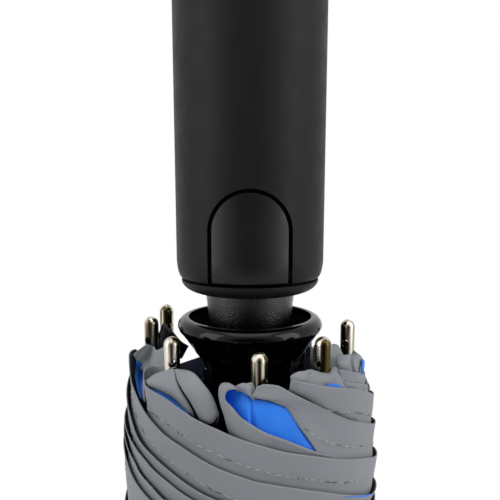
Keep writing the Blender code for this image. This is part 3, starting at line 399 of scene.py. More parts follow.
materials = {
    "soft_touch": plastic("soft_touch_black", (0.0080, 0.0078, 0.0079), 0.50, 0.12, 9000.0, 0.00004),
    "button": plastic("button_black", (0.0045, 0.0045, 0.0046), 0.36, 0.30, 7000.0, 0.00003),
    "gloss": plastic("gloss_black", (0.0006, 0.0006, 0.0007), 0.12, 0.20, 1500.0, 0.00001),
    "neck": plastic("grainy_black", (0.0010, 0.0010, 0.0011), 0.27, 0.55, 3000.0, 0.00022, 0.55),
    "inner": plastic("inner_plastic", (0.010, 0.010, 0.011), 0.45, 0.35, 3000.0, 0.00004),
    "tube": metal("tube_steel", (0.60, 0.60, 0.62), 0.25, 900.0),
    "rib": metal("rib_steel", (0.10, 0.10, 0.11), 0.38, 1200.0),
    "spring": metal("spring_steel", (0.45, 0.45, 0.46), 0.30, 1200.0),
    # Its dark colour is that of the painted reflection streaks
    "nickel": plated("warm_nickel", (0.62, 0.57, 0.48), (0.060, 0.045, 0.018), 0.22),
    "cloth": cloth("grey_cloth", GREY_CLOTH, 0.62, 0.06, 0.05),
    "lining": cloth("blue_lining", BLUE_CLOTH, 0.55, 0.10, 0.12),
    # The next two are the blue lining with painted shade that deepens where other pieces close it in
    "shaded_blue": cloth("shaded_blue", BLUE_CLOTH, 0.55, 0.08, 0.12, (0.05, 0.42)),
    "inside": cloth("shaded_lining", SHADED_LINING_BLUE, 0.60, 0.05, 0.12, (0.30, 0.95)),
    # A near-black of painted shade, for the cup's lining and the neck's top inside the handle
    "painted_shade_black": plastic("painted_shade_black", (0.0004, 0.0004, 0.0004), 0.55, 0.02, 1500.0, 0.00001),
    "dark_thread": plastic("dark_thread", (0.070, 0.074, 0.080), 0.7, 0.2, 6000.0, 0.00003),
    "thread": plastic("grey_thread", (0.33, 0.345, 0.365), 0.7, 0.2, 6000.0, 0.00003),
}


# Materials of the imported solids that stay; those not named are of rib steel
NODE_MATERIALS = {
    "runner_hub": "gloss", "crown_hub": "inner", "handle_core": "inner", "latch_pawl": "inner",
    "top_tube": "tube", "middle_tube": "tube", "bottom_tube": "tube", "crown_ring": "tube",
    "drive_spring": "spring",
}
NODES_REMADE = (
    "handle_shell", "handle_end_cap", "handle_nose_ring", "push_button", "button_return_spring",
    "neck_sleeve", "runner_cup", "ferrule_cap", "canopy", "tie_strap",
) + tuple("rib_tip_" + str(number) for number in NUMBERS)
WELD_REACH = 0.000002
SHARP_ANGLE = math.radians(32)


def dress_nodes():
    """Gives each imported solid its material, and smooths those that stay."""
    for name, node in frame["nodes"].items():
        for slot in node.material_slots:
            slot.material = materials[NODE_MATERIALS.get(name, "rib")]
        if name not in NODES_REMADE:
            smooth_node(node)


def smooth_node(node):
    """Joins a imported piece's loose triangles and shades it smooth between its sharp edges."""
    for face in node.data.polygons:
        face.use_smooth = True
    weld = node.modifiers.new("Weld", "WELD")
    weld.merge_threshold = WELD_REACH
    split = node.modifiers.new("Sharp edges", "EDGE_SPLIT")
    split.split_angle = SHARP_ANGLE


def add_piece(name, shape):
    """Turns a bmesh into an object of the scene."""
    mesh = bpy.data.meshes.new(name)
    shape.to_mesh(mesh)
    shape.free()
    piece = bpy.data.objects.new(name, mesh)
    bpy.context.scene.collection.objects.link(piece)
    return piece


def skin(name, shape, material):
    """Turns a bmesh into an object that is smooth between its sharp edges."""
    bmesh.ops.recalc_face_normals(shape, faces=shape.faces)
    piece = add_piece(name, shape)
    piece.data.shade_smooth()
    piece.data.set_sharp_from_angle(angle=SHARP_ANGLE)
    piece.data.materials.append(material)
    return piece


def add_ring(shape, centre, first, second, radius, sides):
    """A ring of vertices round a centre, in the plane of two directions."""
    ring = []
    for step in range(sides):
        angle = 2 * math.pi * step / sides
        ring.append(shape.verts.new(centre + (first * math.cos(angle) + second * math.sin(angle)) * radius))
    return ring


def close_tube(shape, rings):
    """Joins rings of vertices into a tube with flat ends."""
    for lower, upper in zip(rings, rings[1:]):
        for step in range(len(lower)):
            after = (step + 1) % len(lower)
            shape.faces.new((lower[step], lower[after], upper[after], upper[step]))
    shape.faces.new(rings[0])
    shape.faces.new(list(reversed(rings[-1])))


# The hem of each wing of cloth, numbered as its rib, from its tip round the left loop and away to the right:
# photograph pixels where the photograph shows it, with the depth inside the bundle's outside if it has one
HEM_PIXELS = {
    8: ((147.4, 379.4, 0.0014), (145.8, 382, 0.0004), (146.6, 385, 0.0001), (150, 388.3), (166, 398.2),
        (185, 412), (198, 420), (217, 429), (230, 435), (254, 443.4), (283, 451), (309, 455), (339, 458.7),
        (360, 458), (375, 455.6)),
    7: ((130.6, 376.5), (135.3, 391), (139.2, 399.5), (145.6, 412), (153, 422), (166, 435), (179, 444),
        (198, 457), (217, 467), (242.5, 477), (255, 481), (268, 483.6), (290, 487.2), (320, 491.5),
        (350, 495), (362, 495), (371, 493.8)),
    6: ((140.5, 440.3), (153.3, 455.6), (166, 468.3), (178.8, 478.5), (191.5, 487.4), (204.3, 495.1)),
    5: ((140.5, 453), (153.3, 468.3), (166, 479.8), (185.1, 495.1)),
    4: ((131.6, 455.6), (140.5, 472.1), (153.3, 487.4), (162.2, 497.6)),
    2: ((309, 372, 0.003), (296, 373.6, 0.0014), (290.4, 377.6, 0.0003), (299, 381), (309, 383), (327, 386),
        (346, 388), (357, 389), (372.5, 393.7)),
    1: ((260.8, 385.8, 0.0024), (264.5, 383.6, 0.0021), (269, 383.9, 0.0018), (277.5, 385.2, 0.0012),
        (287, 390.2, 0.0008), (297.5, 395.8, 0.0004), (307, 400.6, 0.0002), (318, 406), (329, 411.4),
        (341, 416.8), (353, 420.9), (374, 423)),
}
# The same where it is hidden: (turn from the tip in degrees, height, depth)
LOOP = ((-1.0, 0.1866, 0.0036), (-4.0, 0.1868, 0.0016), (-6.5, 0.1861, 0.0003), (-3.0, 0.1851, 0.0),
        (6.0, 0.1838, 0.0), (16.0, 0.1824, 0.0))
LOW_LOOP = ((-1.0, 0.1826, 0.0036), (-5.0, 0.1828, 0.0016), (-8.5, 0.1822, 0.0003), (-4.0, 0.1818, 0.0),
            (8.0, 0.1816, 0.0))
SIDE_LOOP = ((-1.0, 0.1866, 0.0036), (-5.0, 0.1868, 0.0016), (-8.5, 0.1862, 0.0003), (-4.0, 0.1858, 0.0),
             (8.0, 0.1854, 0.0))
HEM_STARTS = {
    7: ((-1.0, 0.1880, 0.0040), (-5.0, 0.1890, 0.0020), (-8.0, 0.1898, 0.0004), (-4.0, 0.1903, 0.0),
        (5.0, 0.1908, 0.0), (11.0, 0.1907, 0.0)),
    6: SIDE_LOOP + ((22.0, 0.1850, 0.0), (48.0, 0.1808, 0.0)),
    5: LOOP + ((30.0, 0.1808, 0.0), (60.0, 0.1790, 0.0), (100.0, 0.1764, 0.0)),
    4: LOOP + ((30.0, 0.1808, 0.0), (70.0, 0.1780, 0.0), (120.0, 0.1758, 0.0)),
    3: LOW_LOOP + ((30.0, 0.1808, 0.0), (80.0, 0.1775, 0.0), (150.0, 0.1735, 0.0), (200.0, 0.1690, 0.0)),
}
HEM_SLOPE = 0.000140
HEM_TURN_STEP = 10.0
LEAST_TURN = -60
LEAST_TURN_STEP = 0.5
WRAP_TURN = 330.0
FOOT_TURN = 205.0
FOOT_HEIGHT = 0.0066

# The left edge of the front wing, which leans away over its blue lining, and where that lean ends
LEAN_WING = 1
LEAN_EDGE_PIXELS = (
    (260.8, 385.8), (257.2, 391.0), (254.3, 396.5), (251.2, 401.6), (258.5, 402.8), (266.5, 403.8),
    (277.0, 406.8), (288.5, 411.1), (296.0, 421.3), (303.9, 432.8), (311.5, 443.0), (317.3, 452.0),
    (322.0, 464.0),
)
LEAN_END_PIXEL = (362.0, 423.0)
LEAST_LEAN_SPAN = 1


def turn_from_tip(azimuth, number):
    return (azimuth - TIP_AZIMUTHS[number] - LEAST_TURN) % 360 + LEAST_TURN


def hem_line(number):
    """One wing's hem as (turn from its tip, height, depth) points, out to the wing's fold."""
    points = list(HEM_STARTS.get(number, ()))
    for pixel in HEM_PIXELS.get(number, ()):
        azimuth, height, inset = from_pixel(*pixel)
        points.append((turn_from_tip(azimuth, number), height, inset))
    last_turn, last_height, _ = points[-1]
    steps = math.ceil((WRAP_TURN - last_turn) / HEM_TURN_STEP)
    for step in range(1, steps + 1):
        turn = last_turn + (WRAP_TURN - last_turn) * step / steps
        points.append((turn, last_height - (turn - last_turn) * HEM_SLOPE, 0.0))
    return points


def outer_part(number):
    """The hem's stretch past its left loop, where its turn only grows."""
    points = hem_lines[number]
    start = min(range(len(points)), key=lambda index: points[index][0])
    kept = [(points[start][0], points[start][1])]
    for turn, height, _ in points[start + 1:]:
        if turn > kept[-1][0] + LEAST_TURN_STEP:
            kept.append((turn, height))
    return kept


hem_lines = {number: hem_line(number) for number in NUMBERS}
outer_parts = {number: outer_part(number) for number in NUMBERS}


def lean_turns(pixels):
    """Where pixels lie on the front wing, as (height, turn) points."""
    places = [from_pixel(*pixel) for pixel in pixels]
    return [(height, turn_from_tip(azimuth, LEAN_WING)) for azimuth, height, _ in places]


def lean_hem():
    """The front wing's hem as (height, turn) points, the lowest first, from its highest place on."""
    points = []
    for height, turn in lean_turns(HEM_PIXELS[LEAN_WING]):
        if points and height >= points[-1][0]:
            points = []
        points.append((height, turn))
    return sorted(points)


lean_points = sorted(lean_turns(LEAN_EDGE_PIXELS))
lean_hem_points = lean_hem()
lean_first = lean_turns(HEM_PIXELS[LEAN_WING][:1])[0][1]
lean_end = lean_turns([LEAN_END_PIXEL])[0][1]


def leaning(number, turn, height):
    """Squeezes the front wing's columns to the right of its leaning edge, and keeps its hem where it is."""
    if number != LEAN_WING or turn > lean_end:
        return turn
    edge = follow(lean_points, height)
    still = min(follow(lean_hem_points, height), lean_end)
    if still - lean_first < LEAST_LEAN_SPAN:
        return turn
    return edge + (turn - lean_first) * (still - edge) / (still - lean_first)


# How the wings lie in layers over each other
LAYER = 0.0007
MOST_LAYERS = 3
NEXT_TURN = 45.0
LEAST_BAND = 0.003
UNDER_LINING_DIP = 0.0026
UNDER_LINING_FADE = 0.0012
UNDER_LINING_TURN = 8.0
# A wing's faces that lie deeper under the next wing than this are left out
COVERED_MARGIN = 0.006
COVERED_TURN = 14.0


def hem_height(number, turn):
    return follow(outer_parts[number], turn)


def fold_turn(number, height):
    """How far round the wing's fold lies at one height."""
    top = hem_height(number, WRAP_TURN)
    share = min(max((top - height) / (top - FOOT_HEIGHT), 0.0), 1.0)
    return WRAP_TURN + (FOOT_TURN - WRAP_TURN) * share


def wing_over(number):
    """The wing that lies on top of this one: the next rib's to the left."""
    return number - 1 if number > 1 else 8


def turn_seen_from(over, number, turn):
    """A turn from one wing's tip, as the wing over it counts from its own."""
    return turn + (TIP_AZIMUTHS[number] - TIP_AZIMUTHS[over]) % 360


def cover(number, turn, height):
    """How deep a point lies under the next wing: (below its hem, behind its fold)."""
    over = wing_over(number)
    over_turn = turn_seen_from(over, number, turn)
    return hem_height(over, over_turn) - height, fold_turn(over, height) - over_turn


def covered(number, turn, height, margin, margin_turn):
    below, behind = cover(number, turn, height)
    return below > margin and behind > margin_turn


def sink(number, turn, height):
    """The share of a layer by which a wing dips to slip under the next one."""
    below, behind = cover(number, turn, height)
    over = wing_over(number)
    over_hem = hem_height(over, turn_seen_from(over, number, turn))
    band = max(hem_height(number, max(turn, 0.0)) - over_hem, LEAST_BAND)
    return smooth_share(1 + min(below / band, behind / NEXT_TURN))


def layers_over(number, turn, height, most=MOST_LAYERS):
    """How many layers lie over a wing's point, as the layers that lie over it dip too."""
    share = sink(number, turn, height)
    if share <= 0 or most == 0:
        return 0.0
    over = wing_over(number)
    return share * (1 + layers_over(over, turn_seen_from(over, number, turn), height, most - 1))


def under_lining(number, turn, height):
    """The share by which the wing behind the front wing's lining steps back from it."""
    if wing_over(number) != LEAN_WING:
        return 0.0
    over_turn = turn_seen_from(LEAN_WING, number, turn)
    below = hem_height(LEAN_WING, over_turn) - height
    return smooth_share(below / UNDER_LINING_FADE) * smooth_share((lean_end - over_turn) / UNDER_LINING_TURN)


# A wing is a grid of columns along its hem and of rows down from it
CLOTH = 0.00022
DEGREE_LENGTH = 0.0005
HEM_SPACING = 0.0014
# How much more depth counts than length where places are spaced along a hem
INSET_WEIGHT = 1.4
INSET_FADE = 0.012
HEM_DEPTH = 0.0052
HEM_FLARE = 0.0003
HEM_FLARE_REACH = 0.0016
HEM_STEP = 0.00010
HEM_STEP_REACH = 0.0006
DEPTHS = (0.0, 0.0004, 0.0012, 0.0026, 0.0042, 0.0048, HEM_DEPTH, 0.0056, 0.0068, 0.0084, 0.0105, 0.0130,
          0.0160)
DEPTH_STEP = 0.0055
LEAN_ROW_STEP = 0.00026
CRUMPLE_DEPTH = 0.00022
CRUMPLE_AROUND = 0.05
CRUMPLE_ALONG = 160.0
CRUMPLE_SEED = 3.0
# The columns that roll a wing's far end in: (degrees on from its last column, extra depth)
END_ROLL = ((0.7, 0.0002), (0.9, 0.0006), (-0.5, 0.0010), (-5.0, 0.0012))

# Each piece of cloth's unrolled size, by its name
flat_sizes = {}


def wing_columns(number):
    """Places along a wing's hem, spaced about evenly."""
    hem = hem_lines[number]
    points = [(turn * DEGREE_LENGTH, height, inset * INSET_WEIGHT) for turn, height, inset in hem]
    columns = spline_points(points, HEM_SPACING)
    return [(along / DEGREE_LENGTH, height, inset / INSET_WEIGHT) for along, height, inset in columns]


def wing_row_depths(number, longest):
    """How far down the longest column each row lies, the first ones close together."""
    depths = list(DEPTHS)
    if number == LEAN_WING:
        close_rows = round(DEPTHS[-1] / LEAN_ROW_STEP)
        depths = [LEAN_ROW_STEP * step for step in range(close_rows)] + [DEPTHS[-1]]
    rest = longest - DEPTHS[-1]
    count = max(1, round(rest / DEPTH_STEP))
    for step in range(count):
        depths.append(depths[-1] + rest / count)
    return depths


def column_fall(depth, drop, longest):
    """How far down its own column a row lies: below the last of DEPTHS it shares out the column's drop."""
    if depth <= DEPTHS[-1]:
        return depth
    return DEPTHS[-1] + (drop - DEPTHS[-1]) * (depth - DEPTHS[-1]) / (longest - DEPTHS[-1])


def crumple(azimuth, height):
    """Slow wrinkles of a wing."""
    place = Vector((azimuth * CRUMPLE_AROUND, height * CRUMPLE_ALONG, CRUMPLE_SEED))
    return CRUMPLE_DEPTH * noise.noise(place)


def wing_point(number, turn, height, inset, fall):
    """The (turn, height, inset) of one point of a wing, from its column's hem and its fall below that."""
    low = height - fall
    lean = max(turn, 0.0) * (1 - FOOT_TURN / WRAP_TURN) * smooth_share(fall / (height - FOOT_HEIGHT))
    here = leaning(number, turn, low) - lean
    if number == LEAN_WING:
        inset = inset * (1 - smooth_share(fall / INSET_FADE))
    dip = inset + LAYER * layers_over(number, here, low)
    dip += UNDER_LINING_DIP * under_lining(number, here, low)
    dip -= HEM_FLARE * math.exp(-fall / HEM_FLARE_REACH)
    if number != LEAN_WING or here > lean_end:
        dip += HEM_STEP * smooth_share((fall - HEM_DEPTH + HEM_STEP_REACH / 2) / HEM_STEP_REACH)
    return here, low, dip + crumple(here + TIP_AZIMUTHS[number], low)


def wing_grid(number):
    """A wing's columns of (turn, height, inset) points, each from the hem down."""
    columns = wing_columns(number)
    longest = max(height for _, height, _ in columns) - FOOT_HEIGHT
    depths = wing_row_depths(number, longest)
    grid = []
    for turn, height, inset in columns:
        falls = [column_fall(depth, height - FOOT_HEIGHT, longest) for depth in depths]
        grid.append([wing_point(number, turn, height, inset, fall) for fall in falls])
    return grid


wing_grids = {number: wing_grid(number) for number in NUMBERS}


def cloth_shape():
    """An empty bmesh whose corners can hold their places on the flat cloth."""
    shape = bmesh.new()
    shape.loops.layers.uv.new("cloth_place")
    return shape


def fill_grid(shape, vertices, flat_place, left_out=None, turned_over=False):
    """Fills lines of vertices with smooth faces. A face is left out where all its corners are."""
    lines = shape.loops.layers.uv["cloth_place"]
    for line in range(len(vertices) - 1):
        for place in range(len(vertices[line]) - 1):
            corners = [(line, place), (line, place + 1), (line + 1, place + 1), (line + 1, place)]
            if turned_over:
                corners[1], corners[3] = corners[3], corners[1]
            if left_out and all(left_out[a][b] for a, b in corners):
                continue
            face = shape.faces.new([vertices[a][b] for a, b in corners])
            face.smooth = True
            for loop, (a, b) in zip(face.loops, corners):
                loop[lines].uv = flat_place(a, b)


def make_cloth(piece, outer, inner=None, thickness=CLOTH):
    """Gives a single skin its thickness and its one or two colours."""
    piece.data.materials.append(materials[outer])
    solid = piece.modifiers.new("Cloth", "SOLIDIFY")
    solid.thickness = thickness
    solid.offset = -1.0
    if inner is not None:
        piece.data.materials.append(materials[inner])
        solid.material_offset = 1
        solid.material_offset_rim = 0
    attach(piece, "crown")


def build_wing(number):
    """One of the eight overlapping panels of the furled cloth, with its far end rolled in."""
    grid = list(wing_grids[number])
    for back, extra in END_ROLL:
        grid.append([(turn + back, height, inset + extra) for turn, height, inset in wing_grids[number][-1]])
    tip = TIP_AZIMUTHS[number]
    shape = cloth_shape()
    vertices = []
    hidden = []
    for column in grid:
        places = [on_bundle(tip + turn, height, inset) for turn, height, inset in column]
        vertices.append([shape.verts.new(place) for place in places])
        hidden.append([covered(number, *point[:2], COVERED_MARGIN, COVERED_TURN) for point in column])
    along = [0.0]
    for before, after in zip(vertices, vertices[1:]):
        along.append(along[-1] + (after[0].co - before[0].co).length)
    drops = [[column[0][1] - height for _, height, _ in column] for column in grid]
    fill_grid(shape, vertices, lambda column, row: (along[column], drops[column][row]), hidden)
    loose = [vertex for vertex in shape.verts if not vertex.link_faces]
    bmesh.ops.delete(shape, geom=loose, context="VERTS")
    wing = add_piece("canopy_wing_" + str(number), shape)
    # Its inner face is the blue lining with painted shade
    make_cloth(wing, "cloth", "inside")
    flat_sizes[wing.name] = (along[-1], max(column[-1] for column in drops))
    return wing


# Stitches: short raised threads along each hem
STITCH_PITCH = 0.0020
STITCH_PITCH_SPREAD = (0.85, 1.15)
STITCH_START_SHARE = 0.4
STITCH_LENGTH = 0.0016
STITCH_LENGTH_SPREAD = (0.75, 1.1)
STITCH_TILT = 0.25
STITCH_RADIUS = 0.00011
STITCH_SIDES = 6
# Each ring of a stitch: (share along its length, share of its radius, rise in radii)
STITCH_RINGS = ((-0.5, 0.15, -0.6), (-0.38, 0.8, 0.35), (0.0, 1.0, 0.35), (0.38, 0.8, 0.35),
                (0.5, 0.15, -0.6))
LIGHT_STITCH_SHARE = 0.62
STITCH_MARGIN = 0.002
STITCH_MARGIN_TURN = 4
LEAN_STITCH_PIXELS = (
    (303.0, 427.5), (309.0, 431.5), (316.0, 436.0), (324.0, 440.0), (333.0, 443.4), (343.0, 445.8),
    (353.0, 447.0),
)
LEAN_STITCH_INSET = -0.00003


def stitch_line(places, name):
    """Small raised threads along a line of places, most of them light and some dark."""
    dice = random.Random(name)
    shape = bmesh.new()
    travelled = 0.0
    goal = STITCH_PITCH * STITCH_START_SHARE
    for start, end in zip(places, places[1:]):
        step = (end - start).length
        while step > 0 and travelled + step >= goal:
            add_stitch(shape, start.lerp(end, (goal - travelled) / step), (end - start).normalized(), dice)
            goal += STITCH_PITCH * dice.uniform(*STITCH_PITCH_SPREAD)
        travelled += step
    piece = skin(name, shape, materials["thread"])
    piece.data.materials.append(materials["dark_thread"])
    for index, face in enumerate(piece.data.polygons):
        stitch_dice = random.Random(name + str(index // (STITCH_SIDES * 4)))
        face.material_index = stitch_dice.random() > LIGHT_STITCH_SHARE
    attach(piece, "crown")


def add_stitch(shape, middle, along, dice):
    outward = outward_from(middle)
    across = along.cross(outward).normalized()
    length = STITCH_LENGTH * dice.uniform(*STITCH_LENGTH_SPREAD)
    way = (along + across * dice.uniform(-STITCH_TILT, STITCH_TILT)).normalized()
    side = way.cross(outward).normalized()
    rings = []
    for share, swell, rise in STITCH_RINGS:
        centre = middle + way * length * share + outward * STITCH_RADIUS * rise
        rings.append(add_ring(shape, centre, side, outward, STITCH_RADIUS * swell, STITCH_SIDES))
    close_tube(shape, rings)


def build_wing_stitches(number):
    tip = TIP_AZIMUTHS[number]
    grid = wing_grids[number]
    places = []
    if number == LEAN_WING:
        places = [on_bundle(*from_pixel(*pixel, LEAN_STITCH_INSET)) for pixel in LEAN_STITCH_PIXELS]
    start = min(range(len(grid)), key=lambda index: grid[index][0][0])
    for column in grid[start:]:
        turn, height, inset = min(column, key=lambda point: abs(column[0][1] - point[1] - HEM_DEPTH))
        if number == LEAN_WING and turn < lean_end:
            continue
        if not covered(number, turn, height, STITCH_MARGIN, STITCH_MARGIN_TURN):
            places.append(on_bundle(tip + turn, height, inset))
    stitch_line(places, "stitches_" + str(number))


# Loose pockets and collars of cloth round the tips. Each is a row of stations along its upper edge, and each
# station a line down the cloth of (across, down, depth): photograph pixels, and units of depth in the bundle.
DEPTH_UNIT = 0.0001
POCKET_STEP = 0.0009
POCKET_ROWS = 12
LINE_STEPS = 60
LINE_LEAST_STEP = 0.00002
COARSE_WRINKLES = 330
FINE_WRINKLES = 900
FINE_WRINKLE_SHARE = 0.5
FRONT_BAND = (
    ((240, 390, 26), (240.3, 387.2, 30), (240.6, 384, 38), (240.8, 386, 60)),
    ((235.5, 388.8, 18), (235.4, 387.6, 21), (235.3, 386.2, 28), (235.6, 388, 56)),
    ((229.6, 389.8, 12), (229.4, 385.5, 14), (229, 382.4, 26), (229.6, 386, 56)),
    ((226.6, 392, 8), (223.6, 386.5, 11), (221.6, 383, 25), (223, 387, 56)),
    ((224.6, 396.5, 5), (221, 394, 8), (218.1, 390.5, 24), (220, 394, 56)),
    ((225.2, 400.4, 3), (222, 402.5, 7), (219.5, 401, 22), (221.5, 403, 52)),
    ((228.2, 404, 2), (226, 411, 6), (224, 415, 21), (226, 418, 48)),
    ((234.3, 410, 1), (231.5, 421, 6), (228.6, 431, 18), (231, 440, 34)),
    ((242.4, 418.8, 1), (240.5, 429, 5), (237, 440, 12), (239, 450, 22)),
    ((252.8, 425.8, 1), (251.5, 435, 5), (249.5, 446, 10), (249, 456, 18)),
    ((265.5, 432.8, 1), (265, 441, 5), (264, 452, 10), (264, 461, 16)),
    ((291, 442.4, 1), (291, 449, 5), (291, 459, 10), (291, 468, 14)),
    ((316.6, 452, 2), (317, 456.5, 5), (317.5, 463, 9), (318, 470, 14)),
    ((336, 457, 4), (336.5, 460, 6), (337, 465, 10), (337, 470, 14)),
)
FRONT_LINING = (
    ((222.5, 391, 52), (224, 398, 46), (226, 408, 36), (229, 420, 26)),
    ((229, 387, 50), (231, 396, 42), (234, 409, 30), (237, 424, 20)),
    ((236.5, 387, 40), (238, 398, 32), (240.5, 412, 22), (243, 428, 16)),
    ((247.5, 392, 30), (248, 403, 24), (248.8, 416, 17), (249.5, 432, 13)),
    ((251.2, 396, 34), (251.5, 405, 29), (251.9, 418, 23), (252.3, 434, 17)),
    ((254.5, 399, 28), (255, 408, 21), (256, 421, 14), (257, 436, 12)),
    ((271, 402, 22), (272, 413, 16), (273, 425, 12), (274, 442, 11)),
    ((288.5, 409.5, 18), (289.5, 420, 14), (290.5, 432, 11), (291.5, 448, 10)),
    ((300, 424, 16), (302, 432, 12), (304, 441, 10), (306, 452, 10)),
    ((312, 441, 14), (314, 446, 11), (316.5, 451.5, 10), (319, 457, 10)),
)
FRONT_STRIP = (
    ((234.5, 386.8, 22), (235, 388.5, 24), (236, 392, 34)),
    ((238.6, 384.4, 22), (239, 387.5, 21), (239.6, 391, 26)),
    ((242.8, 382.7, 24), (243.6, 387, 21), (244.6, 393, 24)),
    ((247, 382.9, 28), (248.4, 388, 23), (249.5, 396.2, 22)),
    ((251, 382.2, 34), (253, 388, 30), (252.5, 399.5, 22)),
    ((255, 383.5, 40), (256.5, 389, 36), (255, 400, 24)),
)
LEFT_COLLAR = (
    ((163.8, 370.9, 34), (157.4, 372.6, 22), (150.8, 376.4, 12), (146, 381.6, 3), (148.6, 386.6, 4)),
    ((165.6, 369.8, 32), (160.4, 375, 18), (154.6, 380.6, 9), (151.6, 385.2, 5), (153.6, 389.2, 10)),
    ((167.8, 369, 30), (164.2, 377, 16), (161, 384, 9), (161, 389, 9), (163.4, 392.6, 16)),
    ((170.4, 368.6, 28), (169, 378, 14), (169, 387, 8), (172.4, 395, 9), (177, 401.8, 16)),
    ((173.4, 368.8, 27), (174, 379, 13), (177.2, 389.4, 8), (182.4, 400, 9), (187.6, 412.4, 15)),
    ((174.6, 369.2, 27), (176.4, 379.6, 17), (181.2, 389.6, 14), (188.2, 401.8, 16), (195.6, 417.4, 20)),
)
LEFT_COLLAR_RIGHT = (
    ((174.8, 369.2, 27), (176.6, 379.4, 19), (181.8, 389, 17), (189.6, 401, 18), (199, 418.6, 20)),
    ((175.8, 369, 26), (179, 379.4, 14), (184.4, 389, 9), (192, 401.5, 10), (201, 422, 14)),
    ((178, 368.8, 26), (185, 377.5, 15), (192.5, 388, 8), (200, 401, 8), (208, 424, 14)),
    ((181.8, 369.4, 30), (189, 374.5, 21), (198.5, 385, 14), (208, 400.5, 13), (213.5, 422, 18)),
    ((186, 369.8, 34), (193.5, 372.6, 27), (203.4, 383.6, 22), (213.4, 398, 21), (219.4, 414, 24)),
    ((187.5, 370.2, 40), (195, 374, 38), (204, 385, 36), (213.6, 399.5, 34), (217, 425, 30)),
)
LEFT_SLIVER = (
    ((149, 384.5, 16), (149.6, 388, 9), (150, 391, 8)),
    ((160, 388, 24), (160.5, 392, 16), (161, 397, 10)),
    ((171, 393, 26), (172, 399, 18), (173, 406, 10)),
    ((180, 402, 22), (182, 407, 16), (183, 413, 10)),
    ((188, 411, 16), (189, 414, 12), (190, 418, 10)),
)
LEFT_LOOP = (
    ((145.2, 382, 4), (144.6, 390, 8), (146, 402, 14)),
    ((143.9, 376, 8), (143.6, 386, 12), (144, 400, 18)),
    ((145.2, 370.4, 16), (145.4, 382, 20), (146, 398, 26)),
    ((149.6, 365.7, 30), (150, 378, 34), (151, 396, 38)),
    ((155, 364.4, 42), (155.6, 377, 44), (156, 394, 46)),
    ((161, 363.6, 50), (161.6, 376, 52), (162, 392, 52)),
    ((165, 359.6, 56), (166, 374, 56), (167, 390, 56)),
    ((170, 356, 64), (171, 371, 64), (172, 388, 62)),
)
FAR_LEFT_PANEL = (
    ((133, 347.5, 30), (130.5, 351.5, 16), (129.2, 355.2, 8)),
    ((135.4, 346, 34), (132.8, 353, 20), (131.4, 359.5, 12)),
    ((139.4, 345.2, 40), (137, 355, 28), (135, 363.5, 18)),
    ((145, 345.8, 46), (142, 358, 34), (139.6, 368.6, 24)),
    ((150.6, 346.8, 52), (147, 361, 42), (143.6, 372.4, 32)),
    ((156.7, 350, 56), (153, 364, 48), (150, 378, 42)),
    ((163.5, 346.8, 62), (160, 362, 58), (158, 380, 54)),
    ((170, 345, 66), (168, 362, 64), (168, 380, 62)),
)
FAR_LEFT_LINING = (
    ((131.6, 360, 14), (133, 372, 14), (136.4, 386, 12), (140.4, 398, 8)),
    ((135, 362, 22), (136.4, 374, 22), (138.6, 388, 18), (141.6, 400, 12)),
    ((139.4, 365.5, 30), (140.2, 377, 28), (141.2, 390, 24), (143.4, 401, 16)),
    ((144.6, 370, 36), (144.8, 381, 34), (144.6, 392, 30), (146, 402, 20)),
)
RIGHT_COLLAR = (
    ((290.6, 377.2, -1), (291.2, 379.4, 1), (293.2, 383, 7)),
    ((295.2, 372.6, 3), (297, 378, 2), (298.6, 385, 9)),
    ((303.6, 370.4, 14), (304.8, 378, 9), (306, 388, 12)),
    ((310.4, 369.4, 26), (308, 377, 19), (309.6, 390, 15)),
    ((316, 370.6, 34), (315, 378, 22), (316.5, 392, 14)),
    ((321.5, 372.2, 34), (321.5, 379, 18), (322, 393, 12)),
    ((327.5, 371.8, 34), (329, 378, 20), (329, 394, 12)),
    ((331.5, 368.6, 32), (333.6, 376, 16), (335, 394, 10)),
    ((335.4, 366.6, 36), (339, 375.5, 14), (341.6, 394, 8)),
    ((338.4, 370.4, 42), (341.6, 377.5, 20), (346.2, 387, 10)),
)
RIGHT_SCRAP = (
    ((326.4, 386.6, 8), (327.6, 384.4, 8), (328.8, 382.6, 10)),
    ((329, 387, 6), (329.6, 385.4, 6), (330.2, 384.4, 8)),
    ((331, 387.4, 6), (331.4, 385, 6), (331.8, 383, 8)),
    ((333.6, 387.8, 5), (334, 386, 5), (334.4, 384.6, 6)),
    ((336.4, 388, 5), (336.8, 385.6, 5), (337.2, 383.8, 6)),
    ((339, 388.2, 4), (339.4, 386.8, 4), (339.8, 385.4, 5)),
    ((342.6, 388.4, 4), (342.8, 387.8, 4), (343, 387, 5)),
)
FAR_RIGHT_COLLAR = (
    ((335.6, 359, 50), (335.2, 364, 44), (337, 372, 40)),
    ((338.4, 356.8, 46), (339.4, 363, 36), (341.4, 374, 32)),
    ((342.4, 355.2, 44), (344, 362, 30), (346, 376, 28)),
    ((347, 354.4, 42), (348.4, 362, 28), (350, 377, 26)),
    ((350.6, 354, 42), (350.8, 362, 32), (351.4, 377, 30)),
    ((354, 353, 42), (355, 361, 24), (356, 377, 22)),
    ((358.4, 350.2, 40), (360.4, 359, 20), (361, 377, 18)),
    ((362, 351.6, 36), (364.6, 358, 18), (364, 377, 14)),
)
FAR_RIGHT_BACK = (
    ((329, 347, 80), (329.6, 356, 76), (331, 374, 66)),
    ((333.6, 343.8, 76), (334.4, 354, 70), (335.4, 373, 58)),
    ((338, 345.2, 70), (338.8, 354, 64), (339.6, 372, 52)),
    ((343, 349, 66), (344, 357, 58), (345, 371, 48)),
)
FAR_RIGHT_SLIVER = (
    ((361, 373.5, 14), (361.4, 366, 13), (362, 359, 15)),
    ((362.6, 373.5, 11), (363.2, 366, 10), (363.6, 359.5, 13)),
    ((363.8, 373, 10), (364.6, 366, 10), (364.6, 361, 13)),
)
